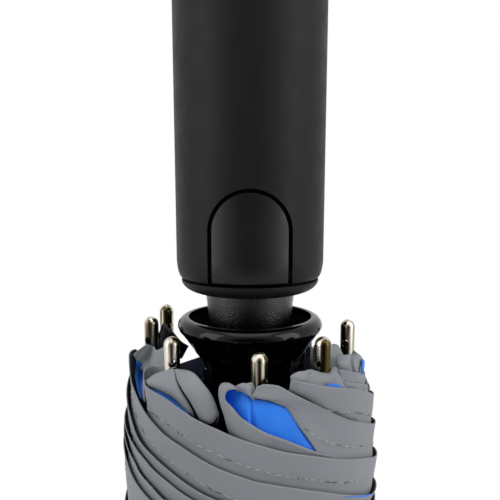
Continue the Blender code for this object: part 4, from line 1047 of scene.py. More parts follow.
LOWER_RIGHT_LINING = (
    ((345, 496.6, -3), (345, 497, -3), (345, 497.4, -1)),
    ((352, 496.2, -3), (352.2, 496.8, -3), (352.4, 497.4, -1)),
    ((360, 495.8, -3), (360.2, 496.6, -3), (360.4, 497.4, -1)),
    ((367, 495, -3), (367.2, 495.8, -3), (367.4, 496.8, -1)),
    ((372.4, 493.6, -3), (372.8, 494.4, -3), (373.2, 495.4, -1)),
)
BACK_LEFT_COLLAR = (
    (ring_place(-88, 0.0222, 0.1950), ring_place(-90, 0.0226, 0.1915), ring_place(-92, 0.0232, 0.1850)),
    (ring_place(-94, 0.0216, 0.1970), ring_place(-95, 0.0222, 0.1920), ring_place(-96, 0.0230, 0.1850)),
    (ring_place(-104, 0.0214, 0.1948), ring_place(-104, 0.0221, 0.1910), ring_place(-104, 0.0230, 0.1850)),
    (ring_place(-112, 0.0214, 0.1928), ring_place(-112, 0.0221, 0.1895), ring_place(-112, 0.0232, 0.1850)),
    (ring_place(-121, 0.0215, 0.1899), ring_place(-121, 0.0223, 0.1880), ring_place(-121, 0.0236, 0.1845)),
    (ring_place(-129, 0.0216, 0.1879), ring_place(-129, 0.0226, 0.1866), ring_place(-129, 0.0242, 0.1840)),
)


def hidden_station(azimuth, depth, *heights):
    """A station out of the photograph's sight, straight down the bundle."""
    return [on_bundle(azimuth, height, depth * DEPTH_UNIT) for height in heights]


FAR_RIGHT_BAND_1 = (
    ((337.6, 372, 26), (337.8, 376, 26), (338.4, 381, 28)),
    ((338.6, 369.6, 18), (339.4, 375, 18), (340.4, 384, 20)),
    ((344, 370.2, 15), (344.6, 377, 16), (345, 387, 18)),
    ((350, 371.5, 13), (350.4, 379, 14), (351, 389, 16)),
    ((358.8, 373, 12), (359, 380, 13), (359.4, 391, 14)),
    ((364.6, 374.4, 14), (365, 382, 14), (365.4, 393, 15)),
    hidden_station(82, 18, 0.1876, 0.1860, 0.1835),
    hidden_station(104, 20, 0.1868, 0.1850, 0.1825),
    hidden_station(126, 24, 0.1856, 0.1840, 0.1815),
)
FAR_RIGHT_BAND_2 = (
    ((342, 382.6, 16), (342.4, 386, 16), (343, 391, 18)),
    ((343.6, 381.5, 12), (344.4, 386, 11), (345.4, 393, 13)),
    ((350, 382.2, 9), (350.4, 387, 9), (351, 395, 12)),
    ((358.8, 383.3, 8), (359, 388, 8), (359.6, 397, 10)),
    ((366.6, 384.3, 9), (366.9, 389, 9), (367.6, 399, 10)),
    hidden_station(84, 12, 0.1846, 0.1830, 0.1800),
    hidden_station(106, 14, 0.1838, 0.1822, 0.1795),
    hidden_station(128, 18, 0.1826, 0.1810, 0.1785),
)
# Each pocket's name, stations, outer and inner cloth, and how deep its wrinkles are; inside and shaded_blue
# are lining with painted shade
POCKETS = (
    ("front_band", FRONT_BAND, "cloth", "lining", 0.00018),
    ("front_lining", FRONT_LINING, "lining", "lining", 0.00022),
    ("front_strip", FRONT_STRIP, "cloth", "lining", 0.00025),
    ("left_collar", LEFT_COLLAR, "cloth", "lining", 0.00025),
    ("left_collar_flap", LEFT_COLLAR_RIGHT, "cloth", "inside", 0.00022),
    ("left_sliver", LEFT_SLIVER, "shaded_blue", "shaded_blue", 0.00018),
    ("left_loop", LEFT_LOOP, "cloth", "cloth", 0.00018),
    ("far_left_lining", FAR_LEFT_LINING, "shaded_blue", "shaded_blue", 0.00018),
    ("far_left_panel", FAR_LEFT_PANEL, "cloth", "lining", 0.00025),
    ("right_collar", RIGHT_COLLAR, "cloth", "cloth", 0.0004),
    ("right_scrap", RIGHT_SCRAP, "lining", "lining", 0.0),
    ("far_right_back", FAR_RIGHT_BACK, "cloth", "cloth", 0.0003),
    ("far_right_sliver", FAR_RIGHT_SLIVER, "lining", "lining", 0.00018),
    ("lower_right_lining", LOWER_RIGHT_LINING, "lining", "lining", 0.0),
    ("back_left_collar", BACK_LEFT_COLLAR, "inside", "inside", 0.0003),
    ("far_right_collar", FAR_RIGHT_COLLAR, "cloth", "cloth", 0.0004),
)
BAND_POCKETS = (
    ("far_right_band_1", FAR_RIGHT_BAND_1, "cloth", "lining", 0.00022),
    ("far_right_band_2", FAR_RIGHT_BAND_2, "cloth", "lining", 0.00022),
)
# Torn and zigzag edges run straight from station to station
STRAIGHT_POCKETS = ("right_scrap",)
# The left tip's collar is repeated round these tips at the back, each lower by its drop
COLLAR_TIP = 8
COLLAR_COPY_DROPS = {4: 0.0062, 5: 0.0036, 6: 0.0030}
COLLAR_COPY_SHARE = 0.70
COLLAR_COPY_WRINKLE = 0.0003


def cloth_place(point, copied):
    """A station's point: a photograph pixel with its depth, or a place given round the bundle."""
    if isinstance(point, Vector):
        return tuple(point)
    across, down, depth = point
    azimuth, height, inset = from_pixel(across, down, depth * DEPTH_UNIT)
    if copied is not None:
        azimuth = TIP_AZIMUTHS[copied] + (azimuth - TIP_AZIMUTHS[COLLAR_TIP]) * COLLAR_COPY_SHARE
        height = height - COLLAR_COPY_DROPS[copied]
    return tuple(on_bundle(azimuth, height, inset))


def sampled_evenly(points, count):
    """Places along a smooth line through points, the same number on every line."""
    fine = spline_points(points, math.dist(points[0], points[-1]) / LINE_STEPS + LINE_LEAST_STEP)
    travelled = [0.0]
    for start, end in zip(fine, fine[1:]):
        travelled.append(travelled[-1] + math.dist(start, end))
    samples = []
    for index in range(count):
        goal = travelled[-1] * index / (count - 1)
        samples.append(fine[min(bisect.bisect_left(travelled, goal), len(fine) - 1)])
    return samples


def pocket_grid(lines):
    """Smooth rows of places through the same places of every line."""
    rows = list(zip(*lines))
    top, middle = rows[0], rows[POCKET_ROWS // 2]
    counts = []
    for index in range(len(lines) - 1):
        span = max(math.dist(top[index], top[index + 1]), math.dist(middle[index], middle[index + 1]))
        counts.append(max(2, round(span / POCKET_STEP)))
    return [spline_counts(row, counts) for row in rows]


def wrinkled(place, amount):
    """A place of loose cloth, moved out or in by its wrinkles."""
    bump = noise.noise(place * COARSE_WRINKLES) + FINE_WRINKLE_SHARE * noise.noise(place * FINE_WRINKLES)
    return place + outward_from(place) * bump * amount


def face_outward(shape):
    """Turns a skin over if it looks towards the shaft."""
    shape.normal_update()
    facing = 0
    for face in shape.faces:
        centre = face.calc_center_median()
        facing += face.normal.dot(Vector((centre.x, centre.y, 0))) * face.calc_area()
    if facing < 0:
        bmesh.ops.reverse_faces(shape, faces=shape.faces)


def build_pocket(name, stations, outer, inner, wrinkle, copied=None):
    lines = []
    for station in stations:
        lines.append(sampled_evenly([cloth_place(point, copied) for point in station], POCKET_ROWS))
    grid = list(zip(*lines)) if name in STRAIGHT_POCKETS else pocket_grid(lines)
    shape = cloth_shape()
    vertices = []
    for row in grid:
        vertices.append([shape.verts.new(wrinkled(Vector(place), wrinkle)) for place in row])
    fill_grid(shape, vertices, lambda row, column: (column * POCKET_STEP, -row * POCKET_STEP), None, True)
    face_outward(shape)
    make_cloth(add_piece(name, shape), outer, inner)
    flat_sizes[name] = (max(line_length(row) for row in grid), max(line_length(line) for line in zip(*grid)))


def build_pockets():
    for pocket in POCKETS:
        build_pocket(*pocket)
    for number in COLLAR_COPY_DROPS:
        build_pocket("collar_" + str(number), LEFT_COLLAR, "cloth", "inside", COLLAR_COPY_WRINKLE, number)
        build_pocket("collar_flap_" + str(number), LEFT_COLLAR_RIGHT, "cloth", "inside", COLLAR_COPY_WRINKLE,
                     number)
    for pocket in BAND_POCKETS:
        build_pocket(*pocket)


# Tie strap: a hemmed band of the same cloth, its end overlapping in front under a press stud
STRAP_OVERLAP_FROM = -16.0
STRAP_OVERLAP_TO = 26.0
STRAP_LIFT = 0.0008
STRAP_LAYER = 0.0009
STRAP_THICKNESS = 0.0007
STRAP_STEP = 2.0
STRAP_ROW_COUNT = 10
STRAP_COLUMN_LENGTH = 0.0009
STRAP_ROW_LENGTH = 0.0015
STRAP_EDGE = 0.0016
STRAP_EDGE_SHARE = 0.36
STRAP_EDGE_RISE = 0.00018
STRAP_SWAY = 0.0004
STRAP_SWAY_START = 1.0
STRAP_RIPPLE = 0.00025
STRAP_RIPPLE_AROUND = 0.06
STRAP_RIPPLE_ACROSS = 3
STRAP_RIPPLE_SEED = 8
# Degrees from the strap's start to where its end climbs over it, and how long the climb and the round end are
STRAP_CLIMB_TURN = 338
STRAP_CLIMB_SPAN = 16
STRAP_END_SPAN = 12
STRAP_END_POWER = 2.2
STRAP_END_LEAST = 0.04
STITCHED_COLUMNS = slice(4, -9)
STUD_RADIUS = 0.0050
STUD_HEIGHT = 0.0013
STUD_DIMPLE = 0.0022
STUD_STEPS = 48
# The stud's profile as shares of (dimple radius, height) and then of (radius, height)
STUD_DIMPLE_SHARES = ((0.0, 0.62), (0.6, 0.66), (1.0, 0.86), (1.2, 1.0))
STUD_DOME_SHARES = ((0.72, 0.94), (0.9, 0.7), (1.0, 0.3), (1.0, 0.0))
STUD_FOOT_SHARE = 0.6

strap_turning = 360 + STRAP_OVERLAP_TO - STRAP_OVERLAP_FROM
strap_count = round(strap_turning / STRAP_STEP)
strap_turns = [STRAP_OVERLAP_FROM + strap_turning * index / strap_count for index in range(strap_count + 1)]


def strap_place(turn, height, rise):
    """A place on the strap, which sways a little and climbs over its own start."""
    over = smooth_share((turn - STRAP_OVERLAP_FROM - STRAP_CLIMB_TURN) / STRAP_CLIMB_SPAN)
    sway = STRAP_SWAY * math.sin(math.radians(turn) + STRAP_SWAY_START)
    return on_bundle(turn, height + sway, -STRAP_LIFT - STRAP_LAYER * over - rise)


def strap_narrowing(turn):
    """The strap's width at one turn as a share of its full width: its end is rounded."""
    remaining = (strap_turns[-1] - turn) / STRAP_END_SPAN
    return math.sqrt(max(1 - max(1 - remaining, 0) ** STRAP_END_POWER, STRAP_END_LEAST))


def build_strap_band(middle, width):
    shape = cloth_shape()
    columns = []
    for turn in strap_turns:
        column = []
        for row in range(STRAP_ROW_COUNT):
            share = row / (STRAP_ROW_COUNT - 1) - 0.5
            edge = STRAP_EDGE_RISE if abs(share) > STRAP_EDGE_SHARE else 0.0
            wave = Vector((turn * STRAP_RIPPLE_AROUND, share * STRAP_RIPPLE_ACROSS, STRAP_RIPPLE_SEED))
            height = middle + width * share * strap_narrowing(turn)
            column.append(shape.verts.new(strap_place(turn, height, edge - STRAP_RIPPLE * noise.noise(wave))))
        columns.append(column)
    fill_grid(shape, columns, lambda column, row: (column * STRAP_COLUMN_LENGTH, row * STRAP_ROW_LENGTH),
              None, True)
    length = line_length([column[STRAP_ROW_COUNT // 2].co for column in columns])
    strap = add_piece("strap_band", shape)
    make_cloth(strap, "cloth", None, STRAP_THICKNESS)
    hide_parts("tie_strap")
    flat_sizes["strap_band"] = (length, width)


def build_strap():
    low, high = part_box("tie_strap")
    middle = (low.z + high.z) / 2
    width = high.z - low.z
    build_strap_band(middle, width)
    for name, side in (("strap_stitches_low", -1), ("strap_stitches_high", 1)):
        height = middle + side * (width / 2 - STRAP_EDGE)
        places = [strap_place(turn, height, STRAP_EDGE_RISE) for turn in strap_turns[STITCHED_COLUMNS]]
        stitch_line(places, name)
    build_stud(middle)


def build_stud(height):
    """The press stud's head: a shallow dome with a dimple."""
    face = on_bundle(0.0, height, -STRAP_LIFT - STRAP_LAYER)
    profile = [(STUD_DIMPLE * across, STUD_HEIGHT * rise) for across, rise in STUD_DIMPLE_SHARES]
    profile += [(STUD_RADIUS * across, STUD_HEIGHT * rise) for across, rise in STUD_DOME_SHARES]
    profile += [(STUD_RADIUS * STUD_FOOT_SHARE, -STRAP_THICKNESS / 2), (0.0, -STRAP_THICKNESS / 2)]
    stud = turned("press_stud", profile, materials["button"], False, STUD_STEPS)
    stud.data.transform(Matrix.Translation(face) @ Matrix.Rotation(math.pi / 2, 4, "X"))
    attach(stud, "crown")
    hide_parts("tie_strap")


# The pieces of cloth: their unrolled sizes, and the pieces that go with each wing
SMALLEST_SHEET = 0.0102
# A panel whose covered part is left out is given the length that its own area fills to this share
SPARSE_SHARE = 0.5
# The pieces that lie with each wing, which are folds of the same panel
WING_COMPANIONS = {
    1: ("front_strip", "front_lining"),
    2: ("right_collar", "right_scrap"),
    3: ("far_right_back", "far_right_sliver", "far_right_collar", "far_right_band_1", "far_right_band_2"),
    4: ("collar_4", "collar_flap_4"),
    5: ("collar_5", "collar_flap_5"),
    6: ("collar_6", "collar_flap_6", "back_left_collar"),
    7: ("far_left_panel", "far_left_lining", "lower_right_lining"),
    8: ("left_collar", "left_collar_flap", "left_sliver", "left_loop", "front_band"),
}


ON_STRAP = ("strap_stitches_low", "strap_stitches_high", "press_stud")


def declare_sheet(piece):
    """Works out a piece's unrolled size, and its own area."""
    width, length = flat_sizes[piece.name]
    area = sum(face.area for face in piece.data.polygons)
    if area < SPARSE_SHARE * width * length:
        length = max(area / (SPARSE_SHARE * width), SMALLEST_SHEET)
    area = min(area, width * length)


def declare_cloth():
    objects = bpy.data.objects
    for number, names in WING_COMPANIONS.items():
        for name in names:
            if min(flat_sizes[name]) < SMALLEST_SHEET:
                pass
            else:
                declare_sheet(objects[name])
        declare_sheet(objects["canopy_wing_" + str(number)])
    declare_sheet(objects["strap_band"])


def fold_cloth():
    """Gives every piece of cloth, the wings' stitches and the strap's stitches and stud a mesh of their own.
    """
    names = list(flat_sizes) + ["stitches_" + str(number) for number in WING_COMPANIONS]
    for name in names + list(ON_STRAP):
        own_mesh(bpy.data.objects[name])


# Hard pieces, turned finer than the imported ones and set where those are
TURN_STEPS = 144
CUT_OVERRUN = 0.004
EDGE_ROUND = 0.00016
BEVEL_ANGLE = math.radians(40)
SEAM_GAP = 0.00015
HANDLE_SEAM_RADIUS = 0.01755
HANDLE_LIP_RADIUS = 0.01645
HANDLE_LIP_HEIGHT = 0.0048
HANDLE_BORE_RADIUS = 0.0145
LIP_STEPS = 10
LIP_TURN_SHARE = 0.9
WINDOW_GAP = 0.00072
BUTTON_NARROWING = 0.00020
BUTTON_SINK = 0.00012
BUTTON_ROUND = 0.00022
ARCH_STEPS = 48
CAP_ROUND = 0.0012
CAP_ROUND_STEPS = 8
CAP_EDGE_ROUND = 0.00018
STRAP_SLOT_LENGTH = 0.0100
STRAP_SLOT_WIDTH = 0.0045
STRAP_SLOT_DEPTH = 0.0030
STRAP_BAR_WIDTH = 0.0016
STRAP_BAR_DEPTH = 0.0012
NOSE_FOOT_RADIUS = 0.0112
NOSE_STEPS = 12
NOSE_LIFT = 0.0011
NECK_TOP_RADIUS = 0.01005
NECK_SHOULDER_RADIUS = 0.0107
NECK_FOOT_RADIUS = 0.0096
NECK_WAIST = 0.00025
NECK_STEPS = 4
SPRING_WIRE = 0.00022
SPRING_TURNS = 5
SPRING_TURN_STEPS = 24
SPRING_SIDES = 8
CUP_RIM_ROUND = 0.0022
CUP_RIM_STEPS = 14
CUP_LIP_ANGLE = 101
CUP_MOUTH_RADIUS = 0.0155
CUP_BORE_RADIUS = 0.0096
CUP_THROAT_RADIUS = 0.01035
# Faces below the rim whose outward lean is less than this are the cup's lining, which is given a near-black
# of painted shade
CUP_LINING_LEAN = 0.1
FERRULE_ROUND = 0.0022
FERRULE_ROUND_STEPS = 10
FERRULE_EDGE_STEPS = 4
# Shares of the cup's flare from its foot out to its rim, and of its height up to the rim's widest line
CUP_SIDE_SHARES = ((0.95, 0.955), (0.87, 0.925), (0.78, 0.885), (0.62, 0.81), (0.46, 0.72), (0.28, 0.64),
                   (0.15, 0.57), (0.06, 0.49), (0.0, 0.42), (0.0, 0.0))
CUP_LINING_SHARES = ((0.0, 0.62), (0.40, 0.76), (0.56, 0.83), (0.60, 0.86), (0.68, 0.87), (0.86, 0.95),
                     (0.97, 1.01))


def turned(name, profile, material, closed=True, steps=TURN_STEPS):
    """A profile of (radius, height) points spun round the shaft."""
    shape = bmesh.new()
    rings = []
    for radius, height in profile:
        if radius <= 0:
            rings.append([shape.verts.new((0, 0, height))] * steps)
            continue
        ring = []
        for step in range(steps):
            angle = 2 * math.pi * step / steps
            ring.append(shape.verts.new((radius * math.sin(angle), -radius * math.cos(angle), height)))
        rings.append(ring)
    pairs = list(zip(rings, rings[1:]))
    if closed:
        pairs.append((rings[-1], rings[0]))
    for upper, lower in pairs:
        for step in range(steps):
            after = (step + 1) % steps
            corners = list(dict.fromkeys((upper[step], lower[step], lower[after], upper[after])))
            if len(corners) > 2:
                shape.faces.new(corners)
    return skin(name, shape, material)


def arc(centre, radius, start, end, count):
    """Profile points on an arc; angles from the outward axis, in degrees."""
    points = []
    for index in range(count + 1):
        angle = math.radians(start + (end - start) * index / count)
        points.append((centre[0] + radius * math.cos(angle), centre[1] + radius * math.sin(angle)))
    return points


def handle_side(head, foot):
    """The handle's outer side as profile points, from one height down to another."""
    shell_low, shell_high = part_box("handle_shell")
    lip_top = shell_low.z + HANDLE_LIP_HEIGHT
    full = [(shell_high.x, shell_high.z), (HANDLE_SEAM_RADIUS, lip_top)]
    drop = HANDLE_SEAM_RADIUS - HANDLE_LIP_RADIUS
    for step in range(1, LIP_STEPS + 1):
        share = step / LIP_STEPS
        fall = 1 - math.sqrt(1 - LIP_TURN_SHARE * share * share)
        radius = HANDLE_SEAM_RADIUS - drop * fall / (1 - math.sqrt(1 - LIP_TURN_SHARE))
        full.append((radius, lip_top - HANDLE_LIP_HEIGHT * share))
    points = [(radius, min(max(height, foot), head)) for radius, height in full]
    return list(dict.fromkeys(points))


def arch_block(name, width, head, foot, back):
    """An arch-shaped block that reaches out past the handle's front."""
    half = width / 2
    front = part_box("handle_shell")[1].x + CUT_OVERRUN
    outline = [(-half, foot), (half, foot)] + arc((0.0, head - half), half, 0, 180, ARCH_STEPS)
    shape = bmesh.new()
    near = [shape.verts.new((across, -front, height)) for across, height in outline]
    far = [shape.verts.new((across, -back, height)) for across, height in outline]
    shape.faces.new(near)
    shape.faces.new(list(reversed(far)))
    for index in range(len(outline)):
        after = (index + 1) % len(outline)
        shape.faces.new((near[index], far[index], far[after], near[after]))
    return skin(name, shape, materials["soft_touch"])


def combine(piece, other, operation):
    """Cuts one piece with another at once, and takes the other away."""
    cut = piece.modifiers.new("Cut", "BOOLEAN")
    cut.operation = operation
    cut.solver = "EXACT"
    cut.object = other
    settle(piece)
    bpy.data.objects.remove(other, do_unlink=True)


def settle(piece):
    """Turns a piece's modifiers into its mesh."""
    bpy.context.view_layer.update()
    depsgraph = bpy.context.evaluated_depsgraph_get()
    mesh = bpy.data.meshes.new_from_object(piece.evaluated_get(depsgraph))
    piece.modifiers.clear()
    piece.data = mesh
    mesh.shade_smooth()
    mesh.set_sharp_from_angle(angle=SHARP_ANGLE)


def soften(piece, width=EDGE_ROUND, segments=3):
    """Rounds a piece's edges."""
    bevel = piece.modifiers.new("Round", "BEVEL")
    bevel.width = width
    bevel.segments = segments
    bevel.limit_method = "ANGLE"
    bevel.angle_limit = BEVEL_ANGLE


def build_handle():
    shell_low, shell_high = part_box("handle_shell")
    button_low, button_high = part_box("push_button")
    foot = shell_low.z + SEAM_GAP
    profile = handle_side(shell_high.z, foot)
    profile += [(HANDLE_BORE_RADIUS, foot), (HANDLE_BORE_RADIUS, shell_high.z)]
    grip = turned("handle_grip", profile, materials["soft_touch"])
    width = button_high.x - button_low.x
    head = button_high.z
    window = arch_block("window_block", width + 2 * WINDOW_GAP, head + WINDOW_GAP, foot - CUT_OVERRUN,
                        HANDLE_BORE_RADIUS - CUT_OVERRUN)
    combine(grip, window, "DIFFERENCE")
    soften(grip)
    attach(grip, "handle")
    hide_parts("handle_shell")


def build_button():
    low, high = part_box("push_button")
    foot = low.z + SEAM_GAP
    side = [(radius - BUTTON_SINK, height) for radius, height in handle_side(high.z + CUT_OVERRUN, foot)]
    body = turned("button_cap", [(0.0, side[0][1])] + side + [(0.0, foot)], materials["button"], False)
    width = high.x - low.x - 2 * BUTTON_NARROWING
    block = arch_block("button_block", width, high.z - BUTTON_NARROWING, foot - CUT_OVERRUN, -high.y)
    combine(body, block, "INTERSECT")
    soften(body, BUTTON_ROUND)
    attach(body, "button")
    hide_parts("push_button")


def build_end_cap():
    low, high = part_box("handle_end_cap")
    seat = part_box("handle_shell")[1].z + SEAM_GAP
    radius = high.x
    rounded = arc((radius - CAP_ROUND, high.z - CAP_ROUND), CAP_ROUND, 90, 0, CAP_ROUND_STEPS)
    plug = HANDLE_BORE_RADIUS - SEAM_GAP
    profile = [(0.0, high.z)] + rounded + [(radius, seat), (plug, seat), (plug, low.z), (0.0, low.z)]
    cap = turned("end_cap", profile, materials["soft_touch"], False)
    half_bar = STRAP_BAR_WIDTH / 2
    slot_floor = high.z - STRAP_SLOT_DEPTH
    for side in (-1, 1):
        near = min(side * half_bar, side * STRAP_SLOT_LENGTH / 2)
        far = max(side * half_bar, side * STRAP_SLOT_LENGTH / 2)
        pocket = block_between("pocket_block", (near, -STRAP_SLOT_WIDTH / 2, slot_floor),
                               (far, STRAP_SLOT_WIDTH / 2, high.z + CUT_OVERRUN))
        combine(cap, pocket, "DIFFERENCE")
    under = (-STRAP_SLOT_LENGTH / 2 + half_bar, -STRAP_SLOT_WIDTH / 2 + EDGE_ROUND, slot_floor)
    over = (STRAP_SLOT_LENGTH / 2 - half_bar, STRAP_SLOT_WIDTH / 2 - EDGE_ROUND, high.z - STRAP_BAR_DEPTH)
    combine(cap, block_between("tunnel_block", under, over), "DIFFERENCE")
    soften(cap, CAP_EDGE_ROUND)
    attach(cap, "handle")
    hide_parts("handle_end_cap")


def block_between(name, low, high):
    shape = bmesh.new()
    bmesh.ops.create_cube(shape, size=1.0)
    middle = (Vector(low) + Vector(high)) / 2
    sides = Vector(high) - Vector(low)
    matrix = Matrix.Translation(middle) @ Matrix.Diagonal((*sides, 1.0))
    bmesh.ops.transform(shape, matrix=matrix, verts=shape.verts)
    return skin(name, shape, materials["soft_touch"])


def build_nose_ring():
    low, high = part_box("handle_nose_ring")
    top = high.z - SEAM_GAP
    foot = low.z + NOSE_LIFT
    span = high.x - NOSE_FOOT_RADIUS
    profile = []
    for step in range(NOSE_STEPS + 1):
        angle = math.radians(90 * step / NOSE_STEPS)
        profile.append((NOSE_FOOT_RADIUS + span * math.cos(angle), top - (top - foot) * math.sin(angle)))
    bore = NECK_TOP_RADIUS + 2 * SEAM_GAP
    profile += [(bore, foot), (bore, top)]
    ring = turned("nose_ring", profile, materials["soft_touch"])
    soften(ring)
    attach(ring, "handle")
    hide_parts("handle_nose_ring")


def build_neck():
    low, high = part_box("neck_sleeve")
    nose_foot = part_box("handle_nose_ring")[0].z + NOSE_LIFT - SEAM_GAP
    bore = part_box("top_tube")[1].x + SEAM_GAP
    profile = [(NECK_TOP_RADIUS, high.z), (NECK_TOP_RADIUS, nose_foot), (NECK_SHOULDER_RADIUS, nose_foot)]
    for step in range(1, NECK_STEPS + 1):
        share = step / NECK_STEPS
        radius = NECK_SHOULDER_RADIUS + (NECK_FOOT_RADIUS - NECK_SHOULDER_RADIUS) * share
        radius -= NECK_WAIST * math.sin(math.pi * share)
        profile.append((radius, nose_foot + (low.z - nose_foot) * share))
    profile += [(bore, low.z), (bore, high.z)]
    neck = turned("neck", profile, materials["neck"])
    # The neck's top, hidden inside the handle, is painted near-black as shade
    neck.data.materials.append(materials["painted_shade_black"])
    for face in neck.data.polygons:
        if face.center.z > nose_foot:
            face.material_index = 1
    soften(neck)
    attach(neck, "handle")
    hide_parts("neck_sleeve")


def build_return_spring():
    """A wound wire under the pawl, built at rest; in the umbrella the button presses it together as it goes
    in.
    """
    low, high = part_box("button_return_spring")
    middle = (low + high) / 2
    radius = (high.y - low.y) / 2 - SPRING_WIRE
    rise = high.z - low.z - 2 * SPRING_WIRE
    shape = bmesh.new()
    rings = []
    steps = SPRING_TURNS * SPRING_TURN_STEPS
    for step in range(steps + 1):
        angle = 2 * math.pi * step / SPRING_TURN_STEPS
        outward = Vector((math.cos(angle), math.sin(angle), 0))
        centre = Vector((middle.x, middle.y, low.z + SPRING_WIRE + rise * step / steps)) + outward * radius
        rings.append(add_ring(shape, centre, outward, Vector((0, 0, 1)), SPRING_WIRE, SPRING_SIDES))
    close_tube(shape, rings)
    spring = skin("return_spring", shape, materials["spring"])
    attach(spring, "handle")
    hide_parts("button_return_spring")
    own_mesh(spring)


def build_cup():
    low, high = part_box("runner_cup")
    rim_height = high.z - CUP_RIM_ROUND
    cone = rim_height - low.z
    profile = arc((high.x - CUP_RIM_ROUND, rim_height), CUP_RIM_ROUND, CUP_LIP_ANGLE, 0, CUP_RIM_STEPS)
    for flare, rise in CUP_SIDE_SHARES:
        radius = CUP_THROAT_RADIUS + (high.x - CUP_THROAT_RADIUS) * flare
        profile.append((radius, low.z + cone * rise))
    sleeve_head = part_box("runner_hub")[1].z
    profile += [(CUP_BORE_RADIUS, low.z), (CUP_BORE_RADIUS, sleeve_head), (CUP_THROAT_RADIUS, sleeve_head)]
    for flare, rise in CUP_LINING_SHARES:
        radius = CUP_THROAT_RADIUS + (CUP_MOUTH_RADIUS - CUP_THROAT_RADIUS) * flare
        profile.append((radius, low.z + cone * rise))
    cup = turned("flared_cup", profile, materials["gloss"])
    # The cup's lining is painted near-black as shade
    cup.data.materials.append(materials["painted_shade_black"])
    for face in cup.data.polygons:
        if face.normal.dot(outward_from(face.center)) < CUP_LINING_LEAN and face.center.z < rim_height:
            face.material_index = 1
    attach(cup, "runner")
    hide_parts("runner_cup")


def build_ferrule():
    low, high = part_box("ferrule_cap")
    radius = high.x
    disc_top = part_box("canopy")[0].z - SEAM_GAP
    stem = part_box("middle_tube")[1].x - SEAM_GAP
    profile = [(0.0, high.z), (stem, high.z), (stem, disc_top)]
    edge = 2 * EDGE_ROUND
    profile += arc((radius - edge, disc_top - edge), edge, 90, 0, FERRULE_EDGE_STEPS)
    centre = (radius - FERRULE_ROUND, low.z + FERRULE_ROUND)
    profile += arc(centre, FERRULE_ROUND, 0, -90, FERRULE_ROUND_STEPS)
    profile.append((0.0, low.z))
    cap = turned("ferrule", profile, materials["soft_touch"], False)
    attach(cap, "crown")
    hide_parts("ferrule_cap")


# Rib tips: a drawn metal sleeve with a domed end and an eye for the thread
TIP_EYE_RADIUS = 0.00085
TIP_EYE_DROP = 0.0055
TIP_EYE_STEPS = 24
TIP_STEPS = 32
TIP_DOME_STEPS = 10
TIP_ROUND = 0.00008
TIP_MOUTH_RADIUS = 0.00130
# How far the tip's bore reaches up, at its side and at its middle, as shares of the tip's length
TIP_BORE_SHARES = (0.78, 0.80)
# How far single tips sit lower in the cloth, and to the left
TIP_DROPS = {4: 0.0042, 5: 0.0012}
TIP_SHIFTS = {4: 0.0022}
# How far each tip's eye is turned from its rib's outward side, in degrees
TIP_EYE_TURNS = {1: 50, 2: 90, 3: -120, 4: 20, 5: 0, 6: -30, 7: 60, 8: 55}


def build_tip(number):
    low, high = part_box("rib_tip_" + str(number))
    centre = (low + high) / 2
    radius = (high.x - low.x) / 2
    length = high.z - low.z
    side_share, middle_share = TIP_BORE_SHARES
    profile = arc((0.0, length - radius), radius, 90, 0, TIP_DOME_STEPS)
    profile[0] = (0.0, length)
    profile += [(radius, 0.0), (TIP_MOUTH_RADIUS, 0.0)]
    profile += [(TIP_MOUTH_RADIUS, length * side_share), (0.0, length * middle_share)]
    tip = turned("tip_" + str(number), profile, materials["nickel"], False, TIP_STEPS)
    shape = bmesh.new()
    bmesh.ops.create_cone(shape, cap_ends=True, segments=TIP_EYE_STEPS, radius1=TIP_EYE_RADIUS,
                          radius2=TIP_EYE_RADIUS, depth=4 * radius)
    turn = Matrix.Rotation(math.radians(TIP_AZIMUTHS[number] + TIP_EYE_TURNS[number]), 4, "Z")
    lay = Matrix.Rotation(math.pi / 2, 4, "X")
    lift = Matrix.Translation((0, 0, length - TIP_EYE_DROP))
    bmesh.ops.transform(shape, matrix=lift @ turn @ lay, verts=shape.verts)
    combine(tip, skin("eye_block", shape, materials["nickel"]), "DIFFERENCE")
    drop = TIP_DROPS.get(number, 0.0)
    shift = TIP_SHIFTS.get(number, 0.0)
    tip.data.transform(Matrix.Translation((centre.x - shift, centre.y, low.z - drop)))
    soften(tip, TIP_ROUND, 2)
    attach(tip, "outer_arm_" + str(number))
    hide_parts("rib_tip_" + str(number))


# Stage
FLOOR_RADIUS = 0.24
FLOOR_DROP = 0.0002
FLOOR_CORNERS = 96
FLOOR_GREY = 0.85
FLOOR_ROUGHNESS = 0.9
WORLD_LEVEL = 0.30
# In reflections the studio is dark in front. The Y of a way is -1 straight to the front: it is dark up to the
# first of these, and bright from the second on
DARK_SIDE_FROM = -0.95
DARK_SIDE_TO = -0.72
DARK_SIDE_LEVEL = 0.04
# Each lamp's name, place, target, size, power, and whether reflections show it
LAMPS = (
    ("left_softbox", (-0.55, -0.25, 0.40), (0, 0, 0.20), (0.35, 0.7), 2.2, True),
    ("right_softbox", (0.55, -0.25, 0.40), (0, 0, 0.20), (0.35, 0.7), 2.6, True),
    ("top_softbox", (0.0, -0.15, 0.85), (0, 0, 0.20), (0.6, 0.6), 2.0, True),
    ("front_fill", (0.0, -0.9, 0.15), (0, 0, 0.16), (0.5, 0.3), 1.2, False),
)


def build_camera():
    data = bpy.data.cameras.new("camera")
    data.sensor_width = SENSOR_WIDTH
    data.lens = FOCAL_PIXELS / PHOTO_SIZE * SENSOR_WIDTH
    data.clip_start = CLIP_START
    data.clip_end = CLIP_END
    camera = bpy.data.objects.new("camera", data)
    bpy.context.scene.collection.objects.link(camera)
    camera.location = CAMERA_PLACE
    camera.rotation_euler = (math.pi / 2 - CAMERA_DROP, 0.0, 0.0)
    bpy.context.scene.camera = camera


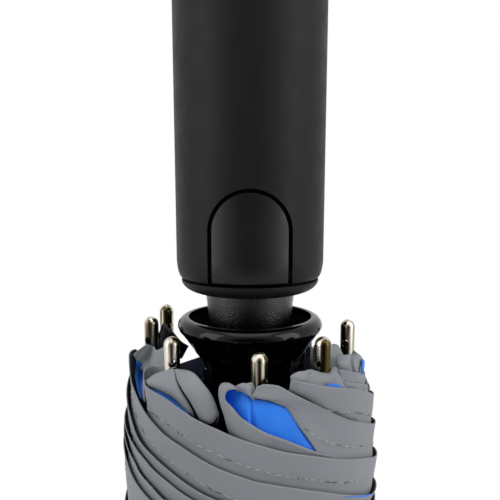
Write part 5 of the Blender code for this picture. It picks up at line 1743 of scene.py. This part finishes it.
def build_floor():
    bpy.ops.mesh.primitive_circle_add(vertices=FLOOR_CORNERS, radius=FLOOR_RADIUS, fill_type="NGON",
                                      location=(0, 0, -FLOOR_DROP))
    floor = bpy.context.object
    floor.name = "floor"
    floor.data.materials.append(shader_material("pale_floor", grey(FLOOR_GREY), FLOOR_ROUGHNESS)[0])


def add_light(name, place, target, size, power, mirrored):
    data = bpy.data.lights.new(name, "AREA")
    data.shape = "RECTANGLE"
    data.size, data.size_y = size
    data.energy = power
    lamp = bpy.data.objects.new(name, data)
    bpy.context.scene.collection.objects.link(lamp)
    lamp.location = place
    lamp.visible_glossy = mirrored
    lamp.rotation_euler = (Vector(target) - Vector(place)).to_track_quat("-Z", "Y").to_euler()


def build_world():
    """A plain studio that is white to the camera and in reflections, but for its dark front side in these."""
    world = bpy.data.worlds.new("studio")
    bpy.context.scene.world = world
    world.use_nodes = True
    tree = world.node_tree
    rays = add_node(tree, "LightPath").outputs
    seen = maths(tree, "MAXIMUM", rays["Is Camera Ray"], rays["Is Glossy Ray"])
    seen = maths(tree, "MAXIMUM", seen, rays["Is Transmission Ray"])
    level = add_node(tree, "MapRange", {"Value": seen, "To Min": WORLD_LEVEL, "To Max": 1.0})
    way = add_node(tree, "TexCoord").outputs["Generated"]
    side = add_node(tree, "SeparateXYZ", {"Vector": way}).outputs["Y"]
    sockets = {"Value": side, "From Min": DARK_SIDE_FROM, "From Max": DARK_SIDE_TO, "To Min": DARK_SIDE_LEVEL,
               "To Max": 1.0}
    dark_side = add_node(tree, "MapRange", sockets)
    sockets = {"Factor": rays["Is Glossy Ray"], "A": 1.0, "B": dark_side.outputs["Result"]}
    glossy = add_node(tree, "Mix", sockets, data_type="FLOAT")
    strength = maths(tree, "MULTIPLY", level.outputs["Result"], glossy.outputs["Result"])
    join(tree, tree.nodes["Background"], {"Color": (1, 1, 1, 1), "Strength": strength})


build_camera()
build_floor()
build_world()
for lamp in LAMPS:
    add_light(*lamp)

dress_nodes()
build_handle()
build_button()
build_end_cap()
build_nose_ring()
build_neck()
build_return_spring()
build_cup()
build_ferrule()
for number in NUMBERS:
    build_tip(number)
wings = [build_wing(number) for number in NUMBERS]
for number in NUMBERS:
    build_wing_stitches(number)
build_pockets()
build_strap()
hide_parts("canopy")
declare_cloth()
fold_cloth()

view = bpy.context.scene.view_settings
view.view_transform = "Standard"
